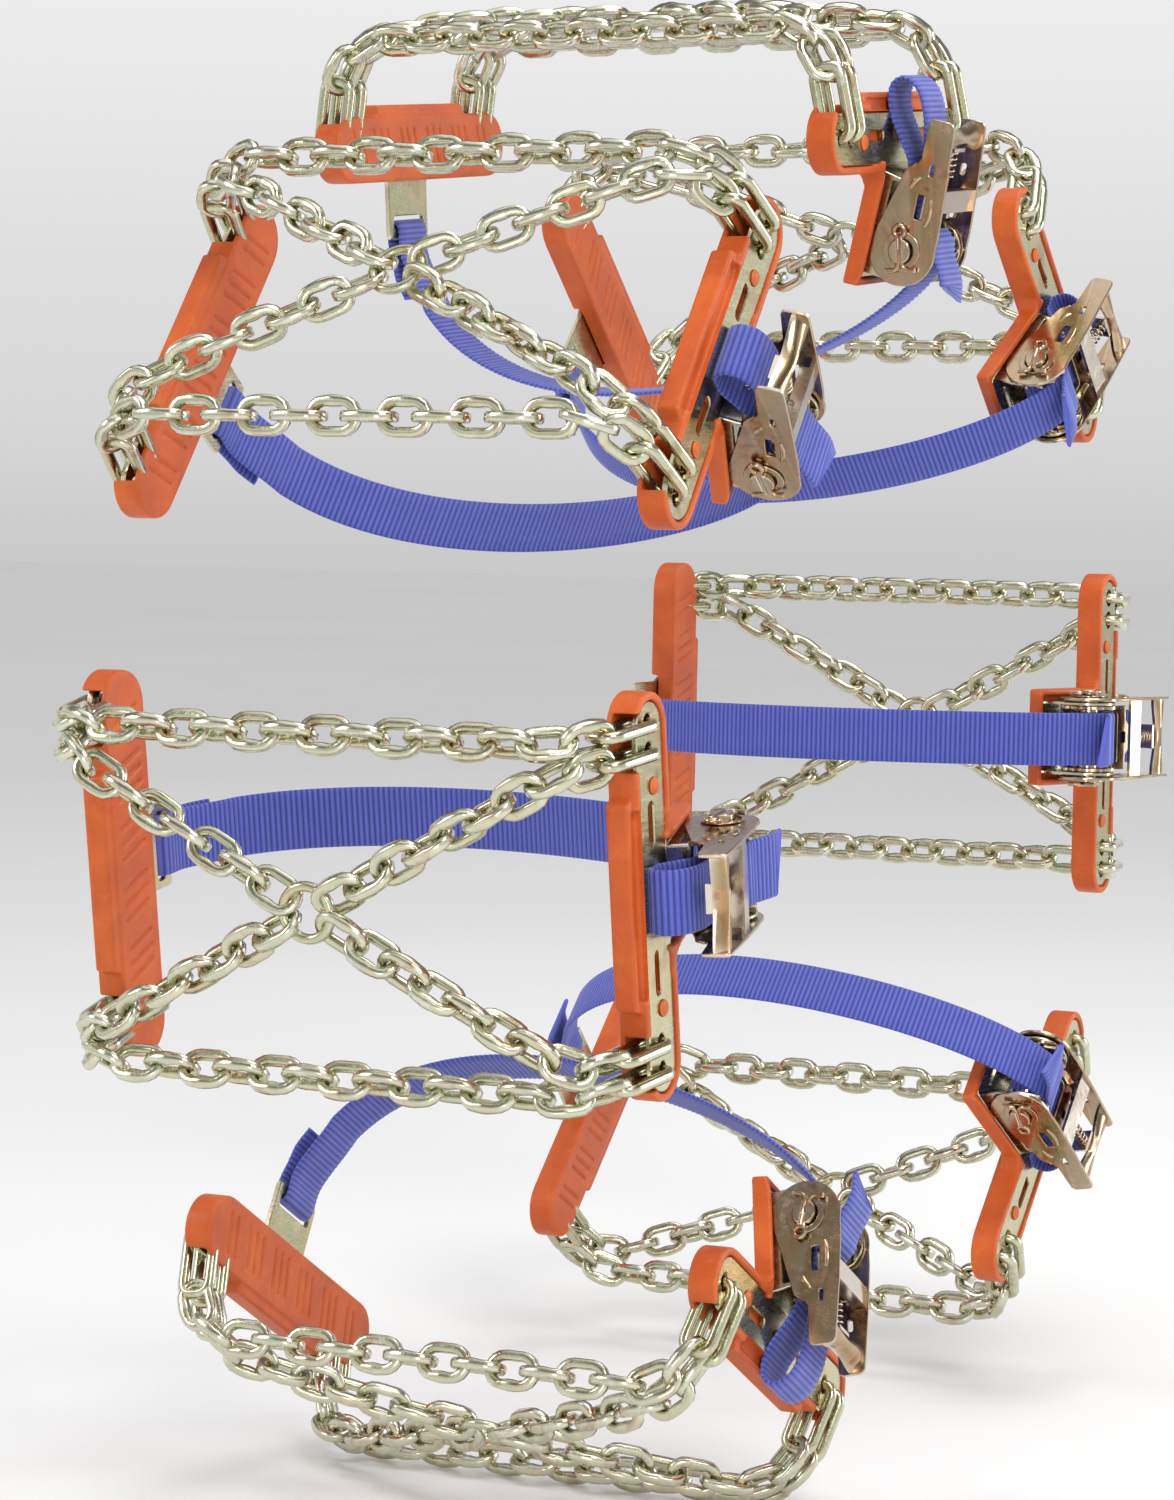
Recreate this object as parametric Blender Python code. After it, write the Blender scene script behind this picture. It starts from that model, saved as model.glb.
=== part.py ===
"""Strap-on anti-skid chain set for one car wheel: seven chain units, each held by its own ratchet strap.

Row frame: origin at the wheel's centre, wheel axis along Y with the outboard side at -Y, +Z up, metres.
Every unit is modelled once, in a unit frame at wheel angle 0: X runs radially outwards, Y along the
wheel's axis and Z along the tangent. The unit is then turned about the wheel's axis to its place.
"""

import math

import bmesh
import bpy
from mathutils import Matrix, Vector

# --- The tyre that the set fits (not part of the object): 225/45 R17
TYRE_RADIUS = 0.317
TREAD_HALF_WIDTH = 0.100

# --- Units round the wheel, seen from the outboard side, anticlockwise from +X
UNIT_ANGLES_DEG = (188.0, 141.5, 95.5, 47.5, -1.0, -47.5, -120.5)

# --- Chain
STRAND_STEP = 0.016  # distance between the strands' wide and tall sections: one link's pitch
LINK_HALF_WIDTH = 0.0076
LINK_HALF_WIRE = 0.0021
CHAIN_HEIGHT = 0.0070  # centre line above the tread
SHOULDER_RADIUS = 0.022
CROSS_CHAIN_T = 0.068  # tangential place of the two cross chains
DIAGONAL_T = 0.057  # tangential place of the diagonals' hooks
RING_RADIUS = 0.0104
RING_WIRE = 0.0021

# --- Hooks: closed long links through the plates
HOOK_ROD = 0.0025
HOOK_LENGTH = 0.030
HOOK_WIDTH = 0.012
HOOK_TILT = math.radians(10)

# --- Plates
PLATE_THICKNESS = 0.0025
BAR_CENTRE_X = 0.270
BAR_HALF_HEIGHT = 0.011
BAR_HALF_LENGTH = 0.0765
PLATE_FACE_Y = 0.1215  # outer face of the steel plates, from the wheel's mid plane
HOLE_X = 0.2705
HOLE_RADIUS = 0.0041
SLOT_HALF_WIDTH = 0.0022
SLOT_X = 0.2715
SIDE_SLOT = (0.020, 0.038)
MIDDLE_SLOT = (-0.010, 0.010)
STEM_HALF_WIDTH = 0.018
STEM_LENGTH = 0.050
STEM_TILT = math.radians(15)
INNER_STEM_LENGTH = 0.030

# --- Rubber pads
GAP = 0.0004
RIM = 0.0034
PAD_DEPTH = 0.0085
RIM_PROUD = 0.0010
BLOCK_HALF_LENGTH = 0.040
BLOCK_STEP = 0.0050
TRAY_HALF_WIDTH = 0.0236
TRAY_WALL = 0.0030
TRAY_FLOOR = 0.0050
TRAY_WALL_PROUD = 0.0030
NOTCH_T = (0.0515, 0.0728)

# --- Ratchet
SPOOL_ALONG_STEM = 0.034
SPOOL_ABOVE_STEM = 0.0165
DRUM_RADIUS = 0.0052
AXLE_HOLE_RADIUS = 0.0064
DRUM_HALF_LENGTH = 0.0240
TOOTH_TIP = 0.0130
TOOTH_ROOT = 0.0108
TEETH = 10
WHEEL_T = (0.0142, 0.0160)
BASE_CHEEK_T = (0.0164, 0.0178)
HANDLE_CHEEK_T = (0.0185, 0.0200)
BASE_CHEEK_RADIUS = 0.0128
HANDLE_END_RADIUS = 0.0150
HANDLE_LENGTH = 0.0575
HANDLE_REST = math.radians(14)
PAWL_HALF_WIDTH = 0.0158

# --- Webbing
STRAP_HALF_WIDTH = 0.0130
STRAP_THICKNESS = 0.0018
ROLL_RADIUS = 0.0105

ZINC = (0.62, 0.58, 0.42, 1.0)
MATERIALS = {
    "chain_steel": ((0.66, 0.63, 0.50, 1.0), 0.30, 1.0),
    "plate_steel": (ZINC, 0.26, 1.0),
    "ratchet_steel": ((0.60, 0.54, 0.38, 1.0), 0.24, 1.0),
    "orange_rubber": ((0.72, 0.13, 0.02, 1.0), 0.50, 0.0),
    "blue_webbing": ((0.07, 0.09, 0.42, 1.0), 0.75, 0.0),
}


# ---------------------------------------------------------------- scene and materials
def clear_scene():
    for old in list(bpy.data.objects):
        bpy.data.objects.remove(old, do_unlink=True)


def make_material(name):
    colour, roughness, metallic = MATERIALS[name]
    material = bpy.data.materials.new(name)
    material.use_nodes = True
    shader = material.node_tree.nodes["Principled BSDF"]
    shader.inputs["Base Color"].default_value = colour
    shader.inputs["Roughness"].default_value = roughness
    shader.inputs["Metallic"].default_value = metallic
    return material


# ---------------------------------------------------------------- mesh tools
def temporary(mesh):
    obj = bpy.data.objects.new("temporary", mesh)
    bpy.context.scene.collection.objects.link(obj)
    return obj


def evaluated_mesh(obj):
    """The object's evaluated mesh, welded, with its own matrix applied. The object is removed."""
    bpy.context.view_layer.update()
    graph = bpy.context.evaluated_depsgraph_get()
    mesh = bpy.data.meshes.new_from_object(obj.evaluated_get(graph))
    mesh.transform(obj.matrix_world)
    bpy.data.objects.remove(obj, do_unlink=True)
    work = bmesh.new()
    work.from_mesh(mesh)
    bmesh.ops.remove_doubles(work, verts=work.verts, dist=0.000001)
    bmesh.ops.recalc_face_normals(work, faces=work.faces)
    work.to_mesh(mesh)
    work.free()
    return mesh


def combine(first, others, operation="UNION"):
    base = temporary(first)
    tools = [temporary(mesh) for mesh in others]
    for tool in tools:
        step = base.modifiers.new("combine", "BOOLEAN")
        step.operation = operation
        step.solver = "EXACT"
        step.object = tool
    mesh = evaluated_mesh(base)
    for tool in tools:
        bpy.data.objects.remove(tool, do_unlink=True)
    return mesh


def flat_solid(outlines, half_thickness):
    """A flat outline, with holes, as a filled 2D curve about the plane Z = 0."""
    curve = bpy.data.curves.new("outline", "CURVE")
    curve.dimensions = "2D"
    curve.fill_mode = "BOTH"
    curve.extrude = half_thickness
    for outline in outlines:
        spline = curve.splines.new("POLY")
        spline.points.add(len(outline) - 1)
        for point, (x, y) in zip(spline.points, outline):
            point.co = (x, y, 0.0, 1.0)
        spline.use_cyclic_u = True
    return evaluated_mesh(temporary(curve))


def sheet_xz(outlines, low_y, high_y):
    """Outlines in the unit's X-Z plane, made solid between two Y values."""
    mesh = flat_solid(outlines, (high_y - low_y) / 2)
    turn = Matrix.Rotation(math.pi / 2, 4, "X")
    mesh.transform(Matrix.Translation((0, (low_y + high_y) / 2, 0)) @ turn)
    return mesh


def sheet_xy(outlines, low_z, high_z):
    """Outlines in the unit's X-Y plane, made solid between two Z values."""
    mesh = flat_solid(outlines, (high_z - low_z) / 2)
    mesh.transform(Matrix.Translation((0, 0, (low_z + high_z) / 2)))
    return mesh


def box(low, high):
    work = bmesh.new()
    bmesh.ops.create_cube(work, size=1.0)
    size = Vector(high) - Vector(low)
    middle = (Vector(high) + Vector(low)) / 2
    bmesh.ops.scale(work, vec=size, verts=work.verts)
    bmesh.ops.translate(work, vec=middle, verts=work.verts)
    mesh = bpy.data.meshes.new("box")
    work.to_mesh(mesh)
    work.free()
    return mesh


def round_bar(radius, low_z, high_z, centre, sides=8):
    """A cylinder along the unit's Z axis."""
    work = bmesh.new()
    bmesh.ops.create_cone(
        work, cap_ends=True, segments=sides, radius1=radius, radius2=radius, depth=high_z - low_z
    )
    bmesh.ops.translate(work, vec=(*centre, (low_z + high_z) / 2), verts=work.verts)
    mesh = bpy.data.meshes.new("bar")
    work.to_mesh(mesh)
    work.free()
    return mesh


def rod(points, radius, closed, resolution=0):
    curve = bpy.data.curves.new("rod", "CURVE")
    curve.dimensions = "3D"
    curve.bevel_depth = radius
    curve.bevel_resolution = resolution
    curve.use_fill_caps = not closed
    spline = curve.splines.new("POLY")
    spline.points.add(len(points) - 1)
    for point, place in zip(spline.points, points):
        point.co = (*place, 1.0)
    spline.use_cyclic_u = closed
    return evaluated_mesh(temporary(curve))


def mirrored(mesh, axis):
    """A copy of a mesh, mirrored in the plane across one axis, with its faces turned out again."""
    copy = mesh.copy()
    copy.transform(Matrix.Scale(-1, 4, axis))
    copy.flip_normals()
    return copy


def circle(centre, radius, sides, start=0.0):
    return [
        (
            centre[0] + radius * math.cos(start + 2 * math.pi * i / sides),
            centre[1] + radius * math.sin(start + 2 * math.pi * i / sides),
        )
        for i in range(sides)
    ]


def arc(centre, radius, first_deg, last_deg, steps):
    points = []
    for i in range(steps + 1):
        angle = math.radians(first_deg + (last_deg - first_deg) * i / steps)
        points.append((centre[0] + radius * math.cos(angle), centre[1] + radius * math.sin(angle)))
    return points


def slot(x, low_z, high_z, half_width):
    top = arc((x, high_z - half_width), half_width, 0, 180, 2)
    bottom = arc((x, low_z + half_width), half_width, 180, 360, 2)
    return top + bottom


# ---------------------------------------------------------------- chain strands
def tread_radius(y):
    """Distance of the chain's centre line from the wheel's axis, over the tread and its shoulders."""
    flat = TREAD_HALF_WIDTH - 0.008
    reach = abs(y) - flat
    top = TYRE_RADIUS + CHAIN_HEIGHT
    if reach <= 0:
        return top
    return top - SHOULDER_RADIUS + math.sqrt(max(SHOULDER_RADIUS**2 - min(reach, SHOULDER_RADIUS) ** 2, 0))


def on_tyre(y, t):
    """The point over the tread at axial place y and tangential place t."""
    radius = tread_radius(y)
    return Vector((math.sqrt(radius**2 - t**2), y, t))


def hook_end():
    """Middle of a hook's far end, on the outboard side."""
    middle_y = -(PLATE_FACE_Y - PLATE_THICKNESS / 2)
    return (
        HOLE_X + HOOK_LENGTH * math.cos(HOOK_TILT),
        middle_y + HOOK_LENGTH * math.sin(HOOK_TILT),
    )


def resample(points, count):
    """Points at equal distances along a polyline."""
    lengths = [0.0]
    for a, b in zip(points, points[1:]):
        lengths.append(lengths[-1] + (b - a).length)
    spaced = []
    segment = 0
    for i in range(count):
        target = lengths[-1] * i / (count - 1)
        while segment < len(points) - 2 and lengths[segment + 1] < target:
            segment += 1
        span = lengths[segment + 1] - lengths[segment]
        share = (target - lengths[segment]) / span
        spaced.append(points[segment].lerp(points[segment + 1], share))
    return spaced


def path_length(points):
    return sum((b - a).length for a, b in zip(points, points[1:]))


def shoulder_start(t):
    x, y = hook_end()
    return Vector((x - 0.001, y, t))


def cross_path(t):
    """Centre line of a cross chain from the outboard hook to the inboard hook."""
    start = shoulder_start(t)
    steps = 40
    reach = -start.y - 0.002
    points = [start]
    for i in range(steps + 1):
        y = -reach + 2 * reach * i / steps
        points.append(on_tyre(y, t))
    points.append(Vector((start.x, -start.y, t)))
    return points


def diagonal_path(side_t):
    """Centre line of a diagonal from its outboard hook to the ring's edge."""
    start = shoulder_start(side_t * DIAGONAL_T)
    steps = 30
    reach = -start.y - 0.002
    ring_y, ring_t = 0.0085, 0.0050
    points = [start]
    for i in range(steps + 1):
        y = -reach + (reach - ring_y) * i / steps
        t = side_t * (DIAGONAL_T + (ring_t - DIAGONAL_T) * i / steps)
        points.append(on_tyre(y, t))
    return points


def strand(path):
    """A chain run as one solid, wide and flat at one link and narrow and tall at the next."""
    count = max(3, round(path_length(path) / STRAND_STEP) + 1)
    points = resample(path, count)
    work = bmesh.new()
    rings = []
    for i, point in enumerate(points):
        before, after = points[max(i - 1, 0)], points[min(i + 1, count - 1)]
        tangent = (after - before).normalized()
        outward = Vector((point.x, 0.0, point.z)).normalized()
        outward = (outward - tangent * outward.dot(tangent)).normalized()
        across = tangent.cross(outward)
        if i % 2 == 0:
            width, height = LINK_HALF_WIDTH, LINK_HALF_WIRE
        else:
            width, height = LINK_HALF_WIRE, LINK_HALF_WIDTH
        corners = ((1, 1), (-1, 1), (-1, -1), (1, -1))
        rings.append(
            [work.verts.new(point + across * width * a + outward * height * b) for a, b in corners]
        )
    for lower, upper in zip(rings, rings[1:]):
        for k in range(4):
            work.faces.new((lower[k], lower[(k + 1) % 4], upper[(k + 1) % 4], upper[k]))
    work.faces.new(rings[0])
    work.faces.new(rings[-1])
    bmesh.ops.triangulate(work, faces=work.faces)
    bmesh.ops.recalc_face_normals(work, faces=work.faces)
    mesh = bpy.data.meshes.new("strand")
    work.to_mesh(mesh)
    work.free()
    return mesh


def hook(t):
    """A closed long link through the outboard plate, in the plane across the tangent."""
    along = Vector((math.cos(HOOK_TILT), math.sin(HOOK_TILT), 0))
    across = Vector((math.sin(HOOK_TILT), -math.cos(HOOK_TILT), 0))
    middle = Vector((HOLE_X, -(PLATE_FACE_Y - PLATE_THICKNESS / 2), t))
    half = across * HOOK_WIDTH / 2
    far = along * HOOK_LENGTH
    return rod([middle + half, middle + far + half, middle + far - half, middle - half], HOOK_ROD, True)


def make_chain_net():
    ring_x = TYRE_RADIUS + CHAIN_HEIGHT
    ring = rod([(ring_x, y, z) for y, z in circle((0, 0), RING_RADIUS, 8)], RING_WIRE * 1.2, True)
    pieces = []
    for side in (1, -1):
        pieces.append(strand(cross_path(side * CROSS_CHAIN_T)))
        diagonal = strand(diagonal_path(side))
        pieces += [diagonal, mirrored(diagonal, (0, 1, 0))]
        for place in (CROSS_CHAIN_T, DIAGONAL_T):
            one = hook(side * place)
            pieces += [one, mirrored(one, (0, 1, 0))]
    return combine(ring, pieces)


# ---------------------------------------------------------------- plates
def stem_point(along, above):
    """A point of the outer stem's own axes, in the unit's X-Y plane: along it inwards, above its face."""
    start_x, start_y = BAR_CENTRE_X - BAR_HALF_HEIGHT + 0.0002, -PLATE_FACE_Y
    return (
        start_x - along * math.cos(STEM_TILT) - above * math.sin(STEM_TILT),
        start_y + along * math.sin(STEM_TILT) - above * math.cos(STEM_TILT),
    )


def spool_centre():
    return stem_point(SPOOL_ALONG_STEM, SPOOL_ABOVE_STEM)


def bar_outline(grow=0.0, steps=4):
    """The bar's rounded outline in the X-Z plane."""
    half = BAR_HALF_HEIGHT + grow
    reach = BAR_HALF_LENGTH + grow - half
    top = arc((BAR_CENTRE_X, reach), half, 0, 180, steps)
    bottom = arc((BAR_CENTRE_X, -reach), half, 180, 360, steps)
    return top + bottom


def hook_holes():
    places = (CROSS_CHAIN_T, DIAGONAL_T, -DIAGONAL_T, -CROSS_CHAIN_T)
    return [circle((HOLE_X, t), HOLE_RADIUS, 8, math.pi / 8) for t in places]


def make_outer_plate():
    holes = hook_holes()
    for low, high in (SIDE_SLOT, (-SIDE_SLOT[1], -SIDE_SLOT[0]), MIDDLE_SLOT):
        holes.append(slot(SLOT_X, low, high, SLOT_HALF_WIDTH))
    back_y = -(PLATE_FACE_Y - PLATE_THICKNESS)
    bar = sheet_xz([bar_outline(), *holes], -PLATE_FACE_Y, back_y)
    overlap_x = BAR_CENTRE_X - BAR_HALF_HEIGHT + 0.003
    stem = sheet_xy(
        [
            [
                (overlap_x, -PLATE_FACE_Y),
                stem_point(0, 0),
                stem_point(STEM_LENGTH, 0),
                stem_point(STEM_LENGTH, -PLATE_THICKNESS),
                (stem_point(0, -PLATE_THICKNESS)[0], back_y),
                (overlap_x, back_y),
            ]
        ],
        -STEM_HALF_WIDTH,
        STEM_HALF_WIDTH,
    )
    spool = spool_centre()
    outline = [stem_point(a, n) for a, n in ((0.047, -0.001), (0.047, 0.012))]
    outline += arc(spool, BASE_CHEEK_RADIUS, 165, 305, 4)
    outline += [stem_point(a, n) for a, n in ((0.017, 0.011), (0.004, 0.010), (0.004, -0.001))]
    cheek = sheet_xy([outline, circle(spool, AXLE_HOLE_RADIUS, 8)], *BASE_CHEEK_T)
    return combine(bar, [stem, cheek, mirrored(cheek, (0, 0, 1))])


def make_inner_plate():
    low_y, high_y = PLATE_FACE_Y - PLATE_THICKNESS, PLATE_FACE_Y
    holes = hook_holes()
    for low, high in (SIDE_SLOT, (-SIDE_SLOT[1], -SIDE_SLOT[0])):
        holes.append(slot(SLOT_X, low, high, SLOT_HALF_WIDTH))
    bar = sheet_xz([bar_outline(), *holes], low_y, high_y)
    inner_x = BAR_CENTRE_X - BAR_HALF_HEIGHT
    end_x = inner_x - INNER_STEM_LENGTH
    stem = [(inner_x + 0.003, STEM_HALF_WIDTH), (inner_x + 0.003, -STEM_HALF_WIDTH)]
    stem += [(end_x, -STEM_HALF_WIDTH), (end_x, STEM_HALF_WIDTH)]
    window_half = STRAP_HALF_WIDTH + 0.0012
    window = [(end_x + 0.005, -window_half), (end_x + 0.0105, -window_half)]
    window += [(end_x + 0.0105, window_half), (end_x + 0.005, window_half)]
    return combine(bar, [sheet_xz([stem, window], low_y, high_y)])


# ---------------------------------------------------------------- rubber pads
def notches(low_y, high_y):
    """Room for the hooks' legs, open towards the tread."""
    low_t, high_t = NOTCH_T
    left_x, right_x = HOLE_X - 0.006, BAR_CENTRE_X + 0.030
    return [
        box((left_x, low_y, low), (right_x, high_y, high))
        for low, high in ((low_t, high_t), (-high_t, -low_t))
    ]


def bar_pad():
    """The pad's tray behind a plate, on the outboard side."""
    back_y = -(PLATE_FACE_Y - PLATE_THICKNESS - GAP)
    tyre_y = back_y + PAD_DEPTH
    front_y = -(PLATE_FACE_Y + RIM_PROUD)
    body = sheet_xz([bar_outline(RIM)], front_y, tyre_y)
    block_x = BAR_CENTRE_X + BAR_HALF_HEIGHT
    block = box(
        (block_x - 0.004, back_y - 0.0002, -BLOCK_HALF_LENGTH),
        (block_x + RIM + BLOCK_STEP, tyre_y - 0.0008, BLOCK_HALF_LENGTH),
    )
    pocket = sheet_xz([bar_outline(GAP)], front_y - 0.001, back_y)
    cuts = [pocket, *notches(front_y - 0.001, tyre_y + 0.001)]
    return combine(combine(body, [block]), cuts, "DIFFERENCE")


def make_outer_pad():
    pad = bar_pad()
    front_y = -(PLATE_FACE_Y + RIM_PROUD)
    floor = -(PLATE_THICKNESS + GAP)
    inner_x = BAR_CENTRE_X - BAR_HALF_HEIGHT
    back_y = -(PLATE_FACE_Y - PLATE_THICKNESS - GAP)
    clear = STEM_HALF_WIDTH + GAP
    mouth_outline = [
        (inner_x + 0.0012, front_y - 0.001),
        (inner_x - 0.0070, front_y - 0.001),
        stem_point(0.0080, floor),
        stem_point(0.0, floor),
        (inner_x + 0.0012, back_y),
    ]
    mouth = sheet_xy([mouth_outline], -clear, clear)
    opened = combine(pad, [mouth], "DIFFERENCE")
    end = STEM_LENGTH + GAP
    half = TRAY_HALF_WIDTH
    deep = floor - TRAY_FLOOR
    overlap_x = inner_x + 0.001
    tray = sheet_xy(
        [
            [
                (overlap_x, back_y + 0.0003),
                stem_point(0.003, floor),
                stem_point(end + TRAY_WALL, floor),
                stem_point(end + TRAY_WALL, deep),
                stem_point(-0.001, deep),
                (overlap_x, back_y + TRAY_FLOOR),
            ]
        ],
        -half,
        half,
    )
    wall_outline = [
        stem_point(0.0040, floor - 0.001),
        stem_point(end + TRAY_WALL, floor - 0.001),
        stem_point(end + TRAY_WALL, TRAY_WALL_PROUD),
        stem_point(0.0040, TRAY_WALL_PROUD),
    ]
    wall = sheet_xy([wall_outline], half - TRAY_WALL, half)
    lip_outline = [
        stem_point(end, floor - 0.001),
        stem_point(end + TRAY_WALL, floor - 0.001),
        stem_point(end + TRAY_WALL, 0.0),
        stem_point(end, 0.0),
    ]
    lip = sheet_xy([lip_outline], -half + TRAY_WALL / 2, half - TRAY_WALL / 2)
    return combine(opened, [tray, wall, mirrored(wall, (0, 0, 1)), lip])


def make_inner_pad():
    pad = mirrored(bar_pad(), (0, 1, 0))
    inner_x = BAR_CENTRE_X - BAR_HALF_HEIGHT
    low_y = PLATE_FACE_Y - PLATE_THICKNESS - GAP
    clear = STEM_HALF_WIDTH + GAP
    mouth = box(
        (inner_x - 0.006, low_y, -clear), (inner_x + 0.001, PLATE_FACE_Y + 0.003, clear)
    )
    return combine(pad, [mouth], "DIFFERENCE")


# ---------------------------------------------------------------- ratchet
def handle_point(along, out):
    """A point of the handle's own axes, in the unit's X-Y plane: along it, and out on its free side."""
    x, y = spool_centre()
    return (
        x + along * math.cos(HANDLE_REST) - out * math.sin(HANDLE_REST),
        y - along * math.sin(HANDLE_REST) - out * math.cos(HANDLE_REST),
    )


def handle_cheek_outline():
    points = []
    for angle in (80, 110, 140, 170, 200, 230, 260, 290):
        turn = math.radians(angle)
        points.append((HANDLE_END_RADIUS * math.cos(turn), HANDLE_END_RADIUS * math.sin(turn)))
    end = HANDLE_LENGTH
    points += [(0.0300, -0.0062), (0.0380, 0.0)]
    points += [(end - 0.001, 0.0), (end, 0.0015), (end, 0.0095), (end - 0.002, 0.0115)]
    points.append((0.0300, 0.0135))
    return [handle_point(a, b) for a, b in points]


def handle_block(low_along, high_along, low_out, high_out, half_width):
    corners = [
        handle_point(low_along, low_out),
        handle_point(high_along, low_out),
        handle_point(high_along, high_out),
        handle_point(low_along, high_out),
    ]
    return sheet_xy([corners], -half_width, half_width)


def make_handle():
    hole = circle(spool_centre(), AXLE_HOLE_RADIUS, 8)
    cheek = sheet_xy([handle_cheek_outline(), hole], *HANDLE_CHEEK_T)
    middle_t = (HANDLE_CHEEK_T[0] + HANDLE_CHEEK_T[1]) / 2
    grip = handle_block(HANDLE_LENGTH - 0.013, HANDLE_LENGTH - 0.0005, 0.0080, 0.0102, middle_t)
    web = handle_block(0.0190, 0.0280, 0.0108, 0.0128, middle_t)
    tab = handle_block(HANDLE_LENGTH - 0.013, HANDLE_LENGTH - 0.0112, 0.0020, 0.0090, 0.0060)
    return combine(cheek, [mirrored(cheek, (0, 0, 1)), grip, web, tab])


def make_spool():
    centre = spool_centre()
    shaft = round_bar(DRUM_RADIUS, -DRUM_HALF_LENGTH, DRUM_HALF_LENGTH, centre)
    star = []
    for i in range(2 * TEETH):
        angle = math.pi * i / TEETH
        radius = TOOTH_TIP if i % 2 == 0 else TOOTH_ROOT
        star.append((centre[0] + radius * math.cos(angle), centre[1] + radius * math.sin(angle)))
    wheel = sheet_xy([star], *WHEEL_T)
    return combine(shaft, [wheel, mirrored(wheel, (0, 0, 1))])


DRIVE_PAWL = (0.0140, 0.0330, 0.0030, 0.0050)  # along the handle, and out from it
LOCK_PAWL = (0.0100, 0.0243, 0.0052, 0.0072)  # along the stem, and above it
PAWL_TRAVEL = 0.004
SPRING_RADIUS = 0.0026
SPRING_WIRE = 0.00045


def make_drive_pawl():
    return handle_block(*DRIVE_PAWL, PAWL_HALF_WIDTH)


def make_lock_pawl():
    low_along, high_along, low, high = LOCK_PAWL
    corners = [stem_point(low_along, low), stem_point(high_along, low)]
    corners += [stem_point(high_along, high), stem_point(low_along, high)]
    return sheet_xy([corners], -PAWL_HALF_WIDTH, PAWL_HALF_WIDTH)


def coil(start, end, turns):
    """A compression spring's wire between two points of the X-Y plane, in the plane's own axes."""
    start, end = Vector((*start, 0)), Vector((*end, 0))
    along = end - start
    side = Vector((-along.y, along.x, 0)).normalized()
    up = Vector((0, 0, 1))
    sides = 6
    points = []
    for i in range(turns * sides + 1):
        angle = 2 * math.pi * i / sides
        centre = start + along * i / (turns * sides)
        points.append(centre + (side * math.cos(angle) + up * math.sin(angle)) * SPRING_RADIUS)
    return rod(points, SPRING_WIRE, False)


def make_drive_spring():
    middle = (DRIVE_PAWL[2] + DRIVE_PAWL[3]) / 2 + 0.0015
    start = DRIVE_PAWL[1] + PAWL_TRAVEL + 0.001
    return coil(handle_point(start, middle), handle_point(HANDLE_LENGTH - 0.0139, middle), 3)


def make_lock_spring():
    middle = (LOCK_PAWL[2] + LOCK_PAWL[3]) / 2
    start = LOCK_PAWL[0] - PAWL_TRAVEL - 0.001
    return coil(stem_point(start, middle), stem_point(start - 0.006, middle), 3)


# ---------------------------------------------------------------- webbing
def ribbon(path, low_z=-STRAP_HALF_WIDTH, high_z=STRAP_HALF_WIDTH):
    """A strap that follows a path in the X-Y plane, with its width along Z."""
    half = STRAP_THICKNESS / 2
    left, right = [], []
    for i, point in enumerate(path):
        before, after = Vector(path[max(i - 1, 0)]), Vector(path[min(i + 1, len(path) - 1)])
        tangent = (after - before).normalized()
        normal = Vector((-tangent.y, tangent.x)) * half
        left.append((point[0] + normal.x, point[1] + normal.y))
        right.append((point[0] - normal.x, point[1] - normal.y))
    return sheet_xy([left + right[::-1]], low_z, high_z)


def bezier(a, b, c, d, steps):
    points = []
    for i in range(steps + 1):
        s = i / steps
        weights = ((1 - s) ** 3, 3 * s * (1 - s) ** 2, 3 * s * s * (1 - s), s**3)
        points.append(tuple(sum(w * p[k] for w, p in zip(weights, (a, b, c, d))) for k in (0, 1)))
    return points


def make_strap():
    """From an eye round the inner plate's end bar, through the wheel, to the roll and its slack loop."""
    x, y = spool_centre()
    half = STRAP_THICKNESS / 2
    roll = sheet_xy(
        [circle((x, y), ROLL_RADIUS, 12), circle((x, y), DRUM_RADIUS + 0.0008, 8)],
        -STRAP_HALF_WIDTH,
        STRAP_HALF_WIDTH,
    )
    end_x = BAR_CENTRE_X - BAR_HALF_HEIGHT - INNER_STEM_LENGTH
    plate_y = PLATE_FACE_Y - PLATE_THICKNESS / 2
    anchor = (end_x - 0.005, plate_y)
    leave = math.radians(150)
    off = ROLL_RADIUS - half
    start = (x + off * math.cos(leave), y + off * math.sin(leave))
    main = bezier(start, (x - 0.060, y + 0.040), (0.130, 0.060), anchor, 7)
    loop_reach = PLATE_THICKNESS / 2 + GAP + half + 0.0006
    eye_outer = [
        (end_x - 0.0062, plate_y - loop_reach - half),
        (end_x + 0.0090, plate_y - loop_reach - half),
        (end_x + 0.0090, plate_y + loop_reach + half),
        (end_x - 0.0062, plate_y + loop_reach + half),
    ]
    eye_inner = [
        (end_x - 0.0010, plate_y - loop_reach + half),
        (end_x + 0.0072 - 0.0018, plate_y - loop_reach + half),
        (end_x + 0.0072 - 0.0018, plate_y + loop_reach - half),
        (end_x - 0.0010, plate_y + loop_reach - half),
    ]
    eye = sheet_xy([eye_outer, eye_inner], -STRAP_HALF_WIDTH, STRAP_HALF_WIDTH)
    slack = [(x + dx, y + dy) for dx, dy in ((0.0088, -0.0012), (0.0210, -0.0026))]
    slack += bezier(
        (x + 0.0360, y - 0.0032), (x + 0.0520, y + 0.0060), (x + 0.0800, y + 0.0100),
        (x + 0.0690, y - 0.0045), 4,
    )
    slack += [
        (x + dx, y + dy)
        for dx, dy in ((0.0550, -0.0090), (0.0380, -0.0076), (0.0220, -0.0054), (0.0084, -0.0038))
    ]
    return combine(roll, [ribbon(main), eye, ribbon(slack)])


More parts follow.
